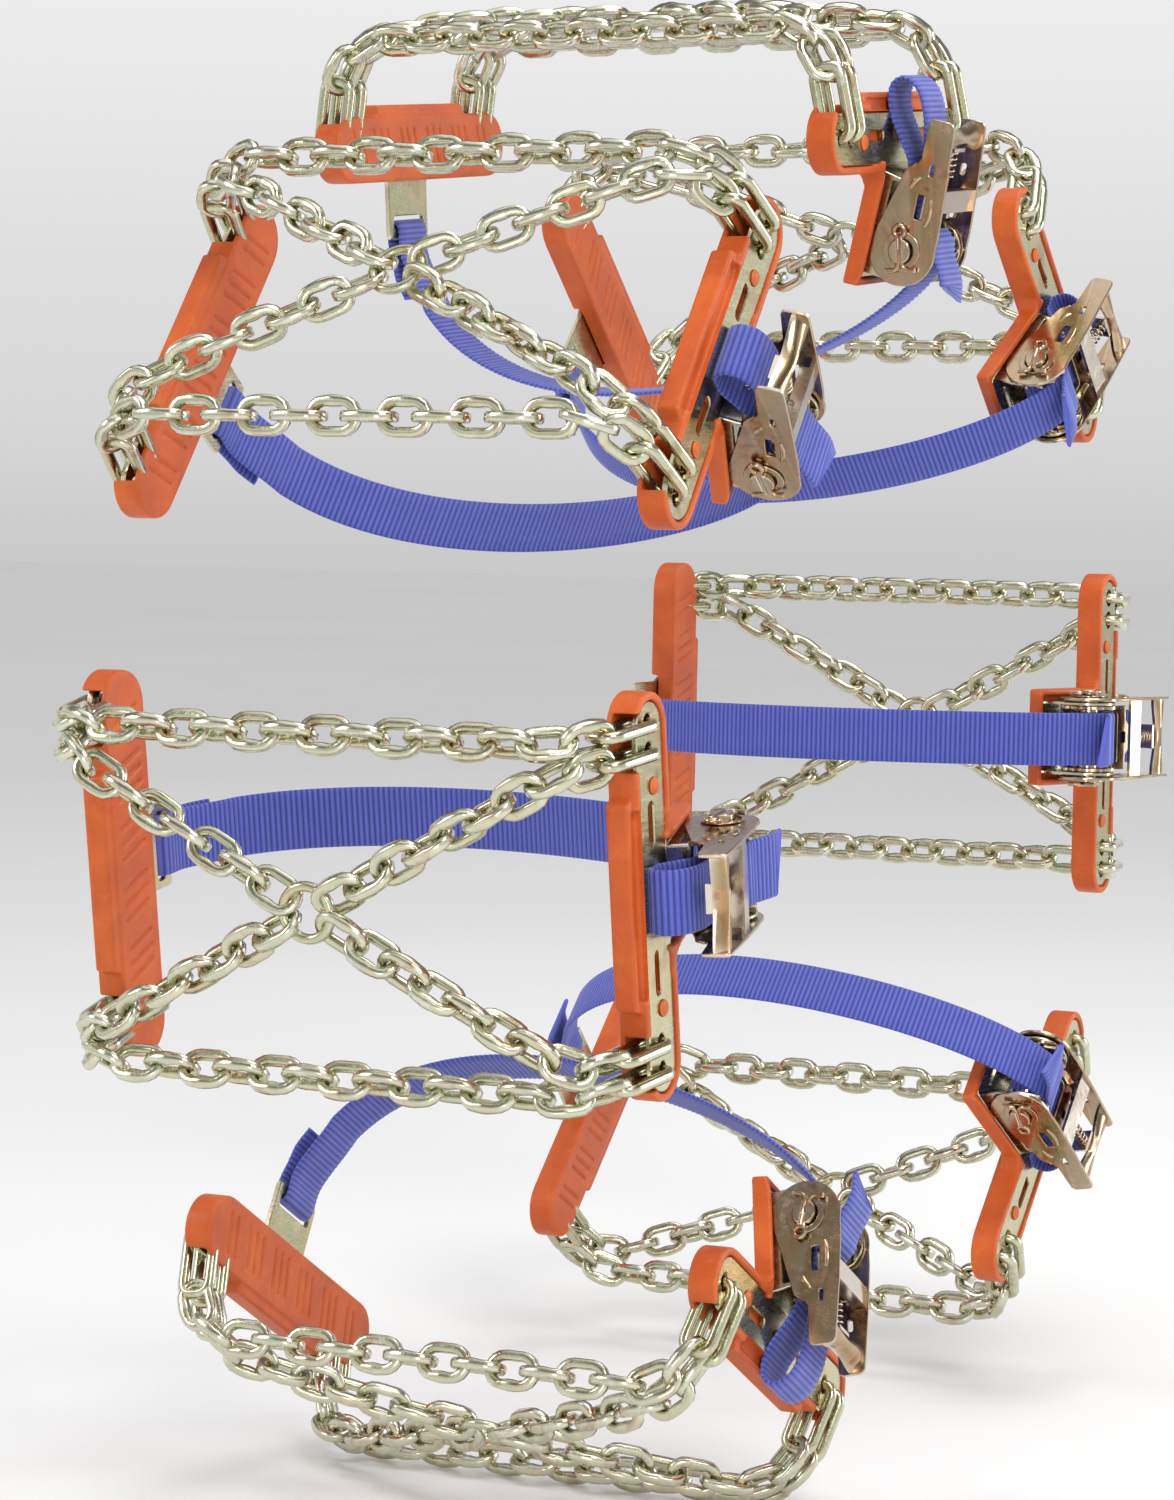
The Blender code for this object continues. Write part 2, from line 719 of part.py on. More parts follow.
# ---------------------------------------------------------------- assembly
UNIT_PIECES = (
    ("chain_net", make_chain_net, "chain_steel"),
    ("outer_plate", make_outer_plate, "plate_steel"),
    ("outer_pad", make_outer_pad, "orange_rubber"),
    ("inner_plate", make_inner_plate, "plate_steel"),
    ("inner_pad", make_inner_pad, "orange_rubber"),
    ("strap", make_strap, "blue_webbing"),
    ("ratchet_handle", make_handle, "ratchet_steel"),
    ("ratchet_spool", make_spool, "ratchet_steel"),
)
FIRST_UNIT_PIECES = (
    ("drive_pawl", make_drive_pawl, "ratchet_steel"),
    ("lock_pawl", make_lock_pawl, "ratchet_steel"),
    ("drive_spring", make_drive_spring, "ratchet_steel"),
    ("lock_spring", make_lock_spring, "ratchet_steel"),
)


def place(name, mesh, angle_deg, collection):
    obj = bpy.data.objects.new(name, mesh)
    obj.matrix_world = Matrix.Rotation(math.radians(-angle_deg), 4, "Y")
    collection.objects.link(obj)


def main():
    clear_scene()
    collection = bpy.data.collections.new("tire_snow_chains")
    bpy.context.scene.collection.children.link(collection)
    materials = {name: make_material(name) for name in MATERIALS}
    for pieces, angles in ((UNIT_PIECES, UNIT_ANGLES_DEG), (FIRST_UNIT_PIECES, UNIT_ANGLES_DEG[:1])):
        for name, make, material in pieces:
            mesh = make()
            mesh.name = name
            mesh.materials.clear()
            mesh.materials.append(materials[material])
            for number, angle in enumerate(angles, start=1):
                place(f"{name}_{number}", mesh, angle, collection)


main()
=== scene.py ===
"""Looks of the strap-on snow chain set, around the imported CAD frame.

Every piece of a chain unit is built once, in the unit frame of the CAD: X runs radially outwards, Y along
the wheel's axis with the outboard side at -Y, and Z along the tangent. A copy is then turned about the
wheel's axis to each of the seven places. Metres throughout.
"""

import math
import random

import bmesh
import bpy
from mathutils import Matrix, Vector


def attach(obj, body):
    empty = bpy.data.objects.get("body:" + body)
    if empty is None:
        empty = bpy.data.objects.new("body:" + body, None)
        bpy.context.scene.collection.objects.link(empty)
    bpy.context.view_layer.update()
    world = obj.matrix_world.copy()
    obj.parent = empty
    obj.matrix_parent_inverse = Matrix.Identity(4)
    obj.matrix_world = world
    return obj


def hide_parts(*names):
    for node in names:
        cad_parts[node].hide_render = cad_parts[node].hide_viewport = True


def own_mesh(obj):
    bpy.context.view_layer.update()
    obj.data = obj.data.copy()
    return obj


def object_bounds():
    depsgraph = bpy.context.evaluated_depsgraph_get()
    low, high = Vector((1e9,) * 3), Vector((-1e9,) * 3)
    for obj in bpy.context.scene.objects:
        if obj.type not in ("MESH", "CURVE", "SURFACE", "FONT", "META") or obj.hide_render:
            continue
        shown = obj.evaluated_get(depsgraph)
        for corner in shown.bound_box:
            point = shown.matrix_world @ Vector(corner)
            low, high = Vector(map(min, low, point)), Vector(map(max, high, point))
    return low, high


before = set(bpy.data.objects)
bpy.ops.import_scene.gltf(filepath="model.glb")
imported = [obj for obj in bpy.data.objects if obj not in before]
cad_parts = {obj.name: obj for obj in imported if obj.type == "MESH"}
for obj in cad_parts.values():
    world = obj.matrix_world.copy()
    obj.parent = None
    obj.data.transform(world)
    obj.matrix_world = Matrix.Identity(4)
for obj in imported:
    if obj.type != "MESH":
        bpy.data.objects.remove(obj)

cad_box = [list(corner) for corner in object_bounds()]

# ---------------------------------------------------------------- sizes, the same as the CAD's
UNIT_ANGLES_DEG = (188.0, 141.5, 95.5, 47.5, -1.0, -47.5, -120.5)
TYRE_RADIUS = 0.317
CHAIN_RADIUS = TYRE_RADIUS + 0.0070
TREAD_FLAT = 0.092
SHOULDER_RADIUS = 0.022
CROSS_CHAIN_T = 0.068
DIAGONAL_T = 0.057
PLATE_FACE_Y = 0.1215
PLATE_THICKNESS = 0.0025
BAR_CENTRE_X = 0.270
BAR_HALF_HEIGHT = 0.011
BAR_HALF_LENGTH = 0.0765
BAR_INNER_X = BAR_CENTRE_X - BAR_HALF_HEIGHT
HOLE_X = 0.2705
HOLE_RADIUS = 0.0039
HOOK_ROD = 0.0025
HOOK_LENGTH = 0.030
HOOK_HALF_WIDTH = 0.006
HOOK_TILT = math.radians(10)
STEM_TILT = math.radians(15)
STEM_HALF_WIDTH = 0.018
STEM_LENGTH = 0.050
INNER_STEM_LENGTH = 0.030
SPOOL_ALONG_STEM = 0.034
SPOOL_ABOVE_STEM = 0.0165
HANDLE_REST = math.radians(14)
HANDLE_LENGTH = 0.0575
STRAP_HALF_WIDTH = 0.0128
STRAP_THICKNESS = 0.0018

# ---------------------------------------------------------------- links
LINK_PITCH = 0.0161
LINK_WIRE = 0.00205
LINK_CHAMFER = 0.00075
LINK_BEND = 0.00595
LINK_STRAIGHT = 0.0040
WELD_SWELL = 1.16
LINK_INNER_HALF = LINK_STRAIGHT + LINK_BEND - LINK_WIRE
RING_RADIUS = 0.0104


def unit_turn(angle_deg):
    return Matrix.Rotation(math.radians(-angle_deg), 4, "Y")


def stem_point(along, above):
    """A point of the outer stem's own axes: along it inwards, above its outboard face."""
    return Vector((
        BAR_INNER_X + 0.0002 - along * math.cos(STEM_TILT) - above * math.sin(STEM_TILT),
        -PLATE_FACE_Y + along * math.sin(STEM_TILT) - above * math.cos(STEM_TILT),
        0.0,
    ))


SPOOL = stem_point(SPOOL_ALONG_STEM, SPOOL_ABOVE_STEM)


def handle_point(along, out, t=0.0):
    """A point of the handle's own axes: along it from the spool, and out on its free side."""
    return Vector((
        SPOOL.x + along * math.cos(HANDLE_REST) - out * math.sin(HANDLE_REST),
        SPOOL.y - along * math.sin(HANDLE_REST) - out * math.cos(HANDLE_REST),
        t,
    ))


# ---------------------------------------------------------------- mesh tools
def temporary(data):
    obj = bpy.data.objects.new("temporary", data)
    bpy.context.scene.collection.objects.link(obj)
    return obj


def baked(obj):
    """The evaluated mesh of a temporary object, which is removed."""
    bpy.context.view_layer.update()
    mesh = bpy.data.meshes.new_from_object(obj.evaluated_get(bpy.context.evaluated_depsgraph_get()))
    mesh.transform(obj.matrix_world)
    bpy.data.objects.remove(obj, do_unlink=True)
    return mesh


def cleaned(mesh, weld=0.000002):
    work = bmesh.new()
    work.from_mesh(mesh)
    bmesh.ops.remove_doubles(work, verts=work.verts, dist=weld)
    bmesh.ops.dissolve_degenerate(work, edges=work.edges, dist=weld)
    bmesh.ops.recalc_face_normals(work, faces=work.faces)
    if work.calc_volume(signed=True) < 0:
        bmesh.ops.reverse_faces(work, faces=work.faces)
    work.to_mesh(mesh)
    work.free()
    return mesh


def smooth(mesh, limit_deg=32.0):
    """Smooth shading, with edges sharper than the limit kept crisp."""
    work = bmesh.new()
    work.from_mesh(mesh)
    limit = math.radians(limit_deg)
    for face in work.faces:
        face.smooth = True
    for edge in work.edges:
        edge.smooth = len(edge.link_faces) == 2 and edge.calc_face_angle(0.0) < limit
    work.to_mesh(mesh)
    work.free()
    return mesh


def joined(meshes):
    work = bmesh.new()
    for mesh in meshes:
        work.from_mesh(mesh)
    whole = bpy.data.meshes.new("joined")
    work.to_mesh(whole)
    work.free()
    return whole


def combine(first, others, operation="UNION"):
    mesh = first
    for other in others:
        base, tool = temporary(mesh), temporary(other)
        step = base.modifiers.new("combine", "BOOLEAN")
        step.operation, step.solver, step.object = operation, "EXACT", tool
        mesh = cleaned(baked(base))
        bpy.data.objects.remove(tool, do_unlink=True)
    return mesh


def sheet(outlines, thickness, bevel=0.0004, rounds=0):
    """Flat outlines, with holes, as a sheet about Z = 0 with rounded edges and its true outline."""
    curve = bpy.data.curves.new("outline", "CURVE")
    curve.dimensions, curve.fill_mode = "2D", "BOTH"
    curve.extrude = thickness / 2 - bevel
    curve.bevel_depth, curve.bevel_resolution = bevel, rounds
    curve.offset = -bevel
    for outline in outlines:
        spline = curve.splines.new("POLY")
        spline.points.add(len(outline) - 1)
        for point, place in zip(spline.points, outline):
            point.co = (place[0], place[1], 0.0, 1.0)
        spline.use_cyclic_u = True
    return cleaned(baked(temporary(curve)))


def sheet_xz(outlines, low_y, high_y, bevel=0.0004):
    mesh = sheet(outlines, high_y - low_y, bevel)
    mesh.transform(Matrix.Translation((0, (low_y + high_y) / 2, 0)) @ Matrix.Rotation(math.pi / 2, 4, "X"))
    return mesh


def sheet_xy(outlines, low_z, high_z, bevel=0.0004):
    mesh = sheet(outlines, high_z - low_z, bevel)
    mesh.transform(Matrix.Translation((0, 0, (low_z + high_z) / 2)))
    return mesh


def mirrored(mesh, axis=(0, 0, 1)):
    copy = mesh.copy()
    copy.transform(Matrix.Scale(-1, 4, axis))
    copy.flip_normals()
    return copy


def arc(centre, radius, first_deg, last_deg, steps):
    turns = [math.radians(first_deg + (last_deg - first_deg) * i / steps) for i in range(steps + 1)]
    return [(centre[0] + radius * math.cos(a), centre[1] + radius * math.sin(a)) for a in turns]


def circle(centre, radius, sides=24):
    return arc(centre, radius, 0, 360 * (sides - 1) / sides, sides - 1)


def slot(centre, half_length, half_width, turn_deg=90.0, steps=8):
    """A round-ended slot's outline about a centre, long along turn_deg."""
    reach = half_length - half_width
    dx, dy = math.cos(math.radians(turn_deg)) * reach, math.sin(math.radians(turn_deg)) * reach
    one = arc((centre[0] + dx, centre[1] + dy), half_width, turn_deg - 90, turn_deg + 90, steps)
    other = arc((centre[0] - dx, centre[1] - dy), half_width, turn_deg + 90, turn_deg + 270, steps)
    return one + other


def rounded(points, radius, steps=5):
    """An outline with each corner rounded off."""
    result = []
    count = len(points)
    for i in range(count):
        before, here, after = Vector(points[i - 1]), Vector(points[i]), Vector(points[(i + 1) % count])
        cut = min(radius, (before - here).length * 0.45, (after - here).length * 0.45)
        start = here + (before - here).normalized() * cut
        end = here + (after - here).normalized() * cut
        for k in range(steps + 1):
            s = k / steps
            result.append(tuple(start * (1 - s) ** 2 + here * 2 * s * (1 - s) + end * s * s))
    return result


def sweep(points, section, normals, closed=False, cap=True):
    """A section of (side, normal) offsets carried along points, each with its own normal."""
    work = bmesh.new()
    count = len(points)
    rings = []
    for i in range(count):
        before = points[i - 1] if closed or i else points[0]
        after = points[(i + 1) % count] if closed or i < count - 1 else points[-1]
        tangent = (after - before).normalized()
        normal = normals[i] if isinstance(normals, list) else normals
        normal = (normal - tangent * normal.dot(tangent)).normalized()
        side = tangent.cross(normal)
        rings.append([work.verts.new(points[i] + side * a + normal * b) for a, b in section])
    size = len(section)
    for i in range(count if closed else count - 1):
        low, high = rings[i], rings[(i + 1) % count]
        for k in range(size):
            work.faces.new((low[k], low[(k + 1) % size], high[(k + 1) % size], high[k]))
    if not closed and cap:
        work.faces.new(rings[0][::-1])
        work.faces.new(rings[-1])
    bmesh.ops.recalc_face_normals(work, faces=work.faces)
    mesh = bpy.data.meshes.new("sweep")
    work.to_mesh(mesh)
    work.free()
    return mesh


def ring_section(radius, sides=12):
    return circle((0, 0), radius, sides)


def chamfered_section(half, cut):
    """A square wire's section with its corners cut, as worn welded chain has."""
    flat = half - cut
    return [
        (half, -flat), (half, flat), (flat, half), (-flat, half),
        (-half, flat), (-half, -flat), (-flat, -half), (flat, -half),
    ]


def capsule(start, end, radius, normal, sides=10):
    """A round bar between two points with domed ends."""
    along = (end - start).normalized()
    points, radii = [], []
    for k in range(5):
        a = math.pi / 2 * k / 4
        points.append(start - along * radius * math.cos(a))
        radii.append(max(radius * math.sin(a), radius * 0.05))
    points += [end + along * radius * math.sin(math.pi / 2 * k / 4) for k in range(5)]
    radii += [max(radius * math.cos(math.pi / 2 * k / 4), radius * 0.05) for k in range(5)]
    return tapered(points, radii, normal, sides)


def tapered(points, radii, normal, sides=12):
    """A round bar whose radius changes along its points."""
    work = bmesh.new()
    rings = []
    for i, (point, radius) in enumerate(zip(points, radii)):
        tangent = (points[min(i + 1, len(points) - 1)] - points[max(i - 1, 0)]).normalized()
        up = (normal - tangent * normal.dot(tangent)).normalized()
        side = tangent.cross(up)
        rings.append([work.verts.new(point + side * radius * a + up * radius * b)
                      for a, b in ring_section(1.0, sides)])
    for low, high in zip(rings, rings[1:]):
        for k in range(sides):
            work.faces.new((low[k], low[(k + 1) % sides], high[(k + 1) % sides], high[k]))
    work.faces.new(rings[0][::-1])
    work.faces.new(rings[-1])
    bmesh.ops.recalc_face_normals(work, faces=work.faces)
    mesh = bpy.data.meshes.new("bar")
    work.to_mesh(mesh)
    work.free()
    return mesh


def bezier(a, b, c, d, steps):
    points = []
    for i in range(steps + 1):
        s = i / steps
        weights = ((1 - s) ** 3, 3 * s * (1 - s) ** 2, 3 * s * s * (1 - s), s**3)
        points.append(sum((p * w for w, p in zip(weights, (a, b, c, d))), Vector((0, 0, 0))))
    return points


def rounded_path(points, steps=8):
    """A smooth curve through points (Catmull-Rom)."""
    ends = [points[0] * 2 - points[1], *points, points[-1] * 2 - points[-2]]
    path = []
    for i in range(1, len(ends) - 2):
        p0, p1, p2, p3 = ends[i - 1 : i + 3]
        for k in range(steps):
            s = k / steps
            path.append(0.5 * (
                2 * p1 + (p2 - p0) * s + (2 * p0 - 5 * p1 + 4 * p2 - p3) * s**2
                + (3 * p1 - p0 - 3 * p2 + p3) * s**3
            ))
    path.append(points[-1])
    return path


def walk(points, distances):
    """Points and directions at given distances along a polyline."""
    lengths = [0.0]
    for a, b in zip(points, points[1:]):
        lengths.append(lengths[-1] + (b - a).length)
    found = []
    for target in distances:
        k = 0
        while k < len(points) - 2 and lengths[k + 1] < target:
            k += 1
        share = (target - lengths[k]) / max(lengths[k + 1] - lengths[k], 1e-9)
        found.append((points[k].lerp(points[k + 1], share), (points[k + 1] - points[k]).normalized()))
    return found


def path_length(points):
    return sum((b - a).length for a, b in zip(points, points[1:]))


# ---------------------------------------------------------------- materials
def socket(node, name):
    return node.inputs[name]


class Graph:
    """Short forms for building a node material."""

    def __init__(self, name):
        self.material = bpy.data.materials.new(name)
        self.material.use_nodes = True
        self.tree = self.material.node_tree
        self.shader = self.tree.nodes["Principled BSDF"]
        self.coords = self.tree.nodes.new("ShaderNodeTexCoord").outputs["Object"]

    def link(self, source, target):
        self.tree.links.new(source, target)

    def node(self, kind, **values):
        node = self.tree.nodes.new(kind)
        for name, value in values.items():
            if hasattr(node, name):
                setattr(node, name, value)
            else:
                node.inputs[name.replace("_", " ")].default_value = value
        return node

    def noise(self, scale, detail=4.0, roughness=0.55, distortion=0.0, coords=None):
        node = self.node("ShaderNodeTexNoise")
        node.inputs["Scale"].default_value = scale
        node.inputs["Detail"].default_value = detail
        node.inputs["Roughness"].default_value = roughness
        node.inputs["Distortion"].default_value = distortion
        self.link(coords or self.coords, node.inputs["Vector"])
        return node.outputs["Fac"]

    def ramp(self, source, stops):
        node = self.node("ShaderNodeValToRGB")
        elements = node.color_ramp.elements
        while len(elements) < len(stops):
            elements.new(0.5)
        for element, (place, colour) in zip(elements, stops):
            element.position = place
            element.color = (*colour, 1.0) if len(colour) == 3 else colour
        self.link(source, node.inputs["Fac"])
        return node.outputs["Color"]

    def grey(self, source, low, high, from_low=0.3, from_high=0.7):
        node = self.node("ShaderNodeMapRange")
        for name, value in (("From Min", from_low), ("From Max", from_high), ("To Min", low), ("To Max", high)):
            node.inputs[name].default_value = value
        self.link(source, node.inputs["Value"])
        return node.outputs["Result"]

    def mix(self, factor, first, second, blend="MIX"):
        node = self.node("ShaderNodeMix")
        node.data_type, node.blend_type = "RGBA", blend
        for value, index in ((factor, 0), (first, 6), (second, 7)):
            if isinstance(value, (int, float)):
                node.inputs[index].default_value = value
            elif isinstance(value, tuple):
                node.inputs[index].default_value = (*value, 1.0)
            else:
                self.link(value, node.inputs[index])
        return node.outputs[2]

    def maths(self, operation, first, second=0.5):
        node = self.node("ShaderNodeMath")
        node.operation = operation
        for value, index in ((first, 0), (second, 1)):
            if isinstance(value, (int, float)):
                node.inputs[index].default_value = value
            else:
                self.link(value, node.inputs[index])
        return node.outputs["Value"]

    def bump(self, height, strength, distance, under=None):
        node = self.node("ShaderNodeBump")
        node.inputs["Strength"].default_value = strength
        node.inputs["Distance"].default_value = distance
        self.link(height, node.inputs["Height"])
        if under is not None:
            self.link(under, node.inputs["Normal"])
        return node.outputs["Normal"]

    def stretched(self, scale):
        node = self.node("ShaderNodeMapping")
        node.inputs["Scale"].default_value = scale
        self.link(self.coords, node.inputs["Vector"])
        return node.outputs["Vector"]

    def finish(self, colour, roughness, normal, metallic=0.0):
        self.link(colour, self.shader.inputs["Base Color"])
        self.link(roughness, self.shader.inputs["Roughness"])
        self.link(normal, self.shader.inputs["Normal"])
        self.shader.inputs["Metallic"].default_value = metallic
        return self.material


def zinc_material(name, stops, patch_scale, rough, streaks, scratch, pitting):
    """Yellow-passivated zinc: patches of straw, silver, pink and green on a bright metal."""
    g = Graph(name)
    patches = g.noise(patch_scale, 3.0, 0.6, 0.8)
    tint = g.ramp(patches, stops)
    film = g.ramp(g.noise(patch_scale * 2.6, 2.0, 0.5, 1.5), [
        (0.36, (0.98, 0.80, 0.74)), (0.46, (1.0, 0.96, 0.80)), (0.54, (0.84, 1.0, 0.80)), (0.66, (1.0, 0.95, 0.90)),
    ])
    tint = g.mix(0.55, tint, film, "MULTIPLY")
    edge = g.node("ShaderNodeNewGeometry").outputs["Pointiness"]
    worn = g.grey(edge, 0.0, 0.55, 0.53, 0.62)
    tint = g.mix(worn, tint, (0.90, 0.88, 0.80))
    # painted shade: darker brown where the surface is hollow (low pointiness), standing in for shade in crevices and
    # between parts
    crevice_shade = g.grey(edge, 0.75, 0.0, 0.40, 0.49)
    tint = g.mix(crevice_shade, tint, (0.11, 0.085, 0.05))
    fine = g.noise(1400.0, 3.0, 0.6)
    drawn = g.noise(1.0, 4.0, 0.6, 0.0, g.stretched(streaks))
    pits = g.noise(900.0, 2.0, 0.5)
    spread = g.maths("ADD", g.grey(patches, rough[0], rough[1]), g.grey(drawn, -0.05, 0.07))
    spread = g.maths("ADD", spread, g.grey(fine, -0.03, 0.04))
    normal = g.bump(drawn, scratch, 0.00004)
    normal = g.bump(pits, pitting, 0.00006, normal)
    return g.finish(tint, spread, normal, 1.0)


def rubber_material():
    g = Graph("orange_rubber")
    cloud = g.noise(38.0, 4.0, 0.6, 0.4)
    colour = g.ramp(cloud, [(0.30, (0.46, 0.068, 0.006)), (0.52, (0.56, 0.092, 0.009)), (0.74, (0.66, 0.128, 0.015))])
    edge = g.node("ShaderNodeNewGeometry").outputs["Pointiness"]
    # painted highlight: lighter orange where the surface is convex (high pointiness), along the edges
    colour = g.mix(g.grey(edge, 0.0, 0.5, 0.52, 0.60), colour, (0.90, 0.27, 0.075))
    # painted shade: darker orange where the surface is hollow (low pointiness), in creases and corners
    colour = g.mix(g.grey(edge, 0.65, 0.0, 0.41, 0.49), colour, (0.30, 0.035, 0.008))
    dust = g.grey(g.noise(240.0, 5.0, 0.7), 0.0, 0.10, 0.56, 0.72)
    colour = g.mix(dust, colour, (0.83, 0.42, 0.22))
    grain = g.noise(1700.0, 3.0, 0.6)
    flow = g.noise(1.0, 3.0, 0.5, 0.5, g.stretched((70.0, 260.0, 70.0)))
    rough = g.maths("ADD", g.grey(cloud, 0.36, 0.50), g.grey(grain, -0.05, 0.08))
    normal = g.bump(flow, 0.16, 0.0003)
    normal = g.bump(grain, 0.30, 0.00006, normal)
    g.shader.inputs["Specular IOR Level"].default_value = 0.42
    return g.finish(colour, rough, normal)


RIB_PITCH = 0.00235
YARNS_ACROSS = 34


def webbing_material():
    """Woven polyester: cross ribs follow the mesh's own ribs, with painted shade in their valleys and a painted
    highlight on their crests, and fine warp yarns run along the strap.
    """
    g = Graph("blue_webbing")
    uv = g.node("ShaderNodeUVMap")
    uv.uv_map = "weave"
    parts = g.node("ShaderNodeSeparateXYZ")
    g.link(uv.outputs["UV"], parts.inputs["Vector"])
    across, along = parts.outputs["X"], parts.outputs["Y"]
    wobble = g.maths("MULTIPLY", g.noise(900.0, 2.0), 0.7)
    turn = g.maths("MULTIPLY", along, 2 * math.pi)
    rib = g.grey(g.maths("COSINE", turn, 0.0), 0.0, 1.0, -1.0, 1.0)
    yarn_turn = g.maths("ADD", g.maths("MULTIPLY", across, 2 * math.pi * YARNS_ACROSS), wobble)
    half_step = g.maths("MULTIPLY", g.maths("ROUND", along, 0.0), math.pi)
    yarn = g.grey(g.maths("COSINE", g.maths("ADD", yarn_turn, half_step), 0.0), 0.0, 1.0, -1.0, 1.0)
    cloud = g.noise(55.0, 3.0, 0.6)
    deep, middle, light = (0.018, 0.024, 0.155), (0.055, 0.074, 0.40), (0.17, 0.22, 0.72)
    # painted shade: the rib valleys darker and the crests lighter, over the mesh's own ribs
    colour = g.ramp(rib, [(0.0, deep), (0.45, middle), (1.0, (0.085, 0.115, 0.52))])
    # warp yarn lines, lighter only on the rib crests: a woven pattern with a painted highlight on the crests
    colour = g.mix(g.maths("MULTIPLY", g.maths("MULTIPLY", yarn, rib), 0.42), colour, light)
    colour = g.mix(g.grey(cloud, 0.0, 0.25), colour, (0.035, 0.040, 0.30))
    fuzz = g.noise(2600.0, 2.0, 0.7)
    colour = g.mix(g.grey(fuzz, 0.0, 0.18), colour, (0.22, 0.25, 0.80))
    rough = g.grey(yarn, 0.62, 0.80, 0.0, 1.0)
    height = g.maths("ADD", g.maths("MULTIPLY", yarn, 0.6), g.maths("MULTIPLY", fuzz, 0.4))
    normal = g.bump(height, 0.55, 0.00022)
    g.shader.inputs["Sheen Weight"].default_value = 0.35
    g.shader.inputs["Sheen Roughness"].default_value = 0.45
    g.shader.inputs["Specular IOR Level"].default_value = 0.35
    return g.finish(colour, rough, normal)


def floor_material():
    g = Graph("studio_floor")
    cloud = g.noise(1.5, 2.0)
    colour = g.ramp(cloud, [(0.3, (0.84, 0.84, 0.84)), (0.7, (0.87, 0.87, 0.87))])
    return g.finish(colour, g.grey(cloud, 0.55, 0.62), g.bump(g.noise(60.0), 0.02, 0.0005))


PALE = [(0.28, (0.34, 0.27, 0.16)), (0.42, (0.58, 0.52, 0.36)), (0.54, (0.46, 0.49, 0.34)), (0.70, (0.66, 0.61, 0.51))]
STRAW = [(0.26, (0.36, 0.27, 0.15)), (0.42, (0.60, 0.50, 0.30)), (0.56, (0.48, 0.49, 0.31)), (0.74, (0.64, 0.54, 0.40))]
GOLD = [(0.26, (0.22, 0.095, 0.065)), (0.42, (0.50, 0.29, 0.15)), (0.56, (0.35, 0.26, 0.15)), (0.74, (0.56, 0.34, 0.22))]
MATERIALS = {
    "chain_steel": zinc_material("chain_zinc", PALE, 85.0, (0.14, 0.28), (300.0, 300.0, 300.0), 0.30, 0.35),
    "plate_steel": zinc_material("plate_zinc", STRAW, 42.0, (0.17, 0.28), (120.0, 120.0, 900.0), 0.10, 0.10),
    "ratchet_steel": zinc_material("ratchet_zinc", GOLD, 55.0, (0.13, 0.24), (900.0, 160.0, 160.0), 0.08, 0.08),
    "orange_rubber": rubber_material(),
    "blue_webbing": webbing_material(),
}


# ---------------------------------------------------------------- pieces into the scene
objects = bpy.data.collections.new("snow_chain_looks")
bpy.context.scene.collection.children.link(objects)


def put(name, mesh, number, body, slot_name, replaces=(), keep_mesh=True):
    """One unit's copy of a piece, turned to its place, riding on a body."""
    data = mesh.copy() if keep_mesh else mesh
    data.transform(unit_turn(UNIT_ANGLES_DEG[number - 1]))
    data.materials.clear()
    data.materials.append(MATERIALS[slot_name])
    piece = bpy.data.objects.new(f"{name}_{number}", data)
    objects.objects.link(piece)
    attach(piece, body)
    if replaces:
        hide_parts(*replaces)
    return piece


# ---------------------------------------------------------------- chains, ring and hooks
def tread_radius(y):
    reach = abs(y) - TREAD_FLAT
    if reach <= 0:
        return CHAIN_RADIUS
    inside = max(SHOULDER_RADIUS**2 - min(reach, SHOULDER_RADIUS) ** 2, 0)
    return CHAIN_RADIUS - SHOULDER_RADIUS + math.sqrt(inside)


def on_tyre(y, t):
    radius = tread_radius(y)
    return Vector((math.sqrt(radius**2 - t**2), y, t))


def hook_far_end(t, side):
    """Middle of a hook's far end; side is -1 outboard and +1 inboard."""
    y = PLATE_FACE_Y - PLATE_THICKNESS / 2 - HOOK_LENGTH * math.sin(HOOK_TILT)
    return Vector((HOLE_X + HOOK_LENGTH * math.cos(HOOK_TILT), side * y, t))


SHOULDER_Y = 0.104


def cross_path(t):
    start, end = hook_far_end(t, -1), hook_far_end(t, 1)
    steps = 60
    middle = [on_tyre(-SHOULDER_Y + 2 * SHOULDER_Y * i / steps, t) for i in range(steps + 1)]
    lead = rounded_path([start, start.lerp(middle[0], 0.5) + Vector((0.0004, -0.0012, 0)), middle[0]], 6)
    tail = [Vector((p.x, -p.y, p.z)) for p in lead[::-1]]
    return lead[:-1] + middle + tail[1:]


RING_JOIN = RING_RADIUS + LINK_INNER_HALF - LINK_WIRE
DIAGONAL_RISE = math.atan2(DIAGONAL_T, 0.105)


def diagonal_path(side_y, side_t):
    """From a hook to the middle of the ring's nearest link."""
    start = hook_far_end(side_t * DIAGONAL_T, side_y)
    end_y, end_t = RING_JOIN * math.cos(DIAGONAL_RISE), RING_JOIN * math.sin(DIAGONAL_RISE)
    steps = 40
    middle = []
    for i in range(steps + 1):
        s = i / steps
        y = SHOULDER_Y + (end_y - SHOULDER_Y) * s
        t = DIAGONAL_T * 0.98 + (end_t - DIAGONAL_T * 0.98) * s
        middle.append(on_tyre(side_y * y, side_t * t))
    lead = rounded_path([start, start.lerp(middle[0], 0.5) + Vector((0.0004, side_y * 0.0012, 0)), middle[0]], 6)
    return lead[:-1] + middle


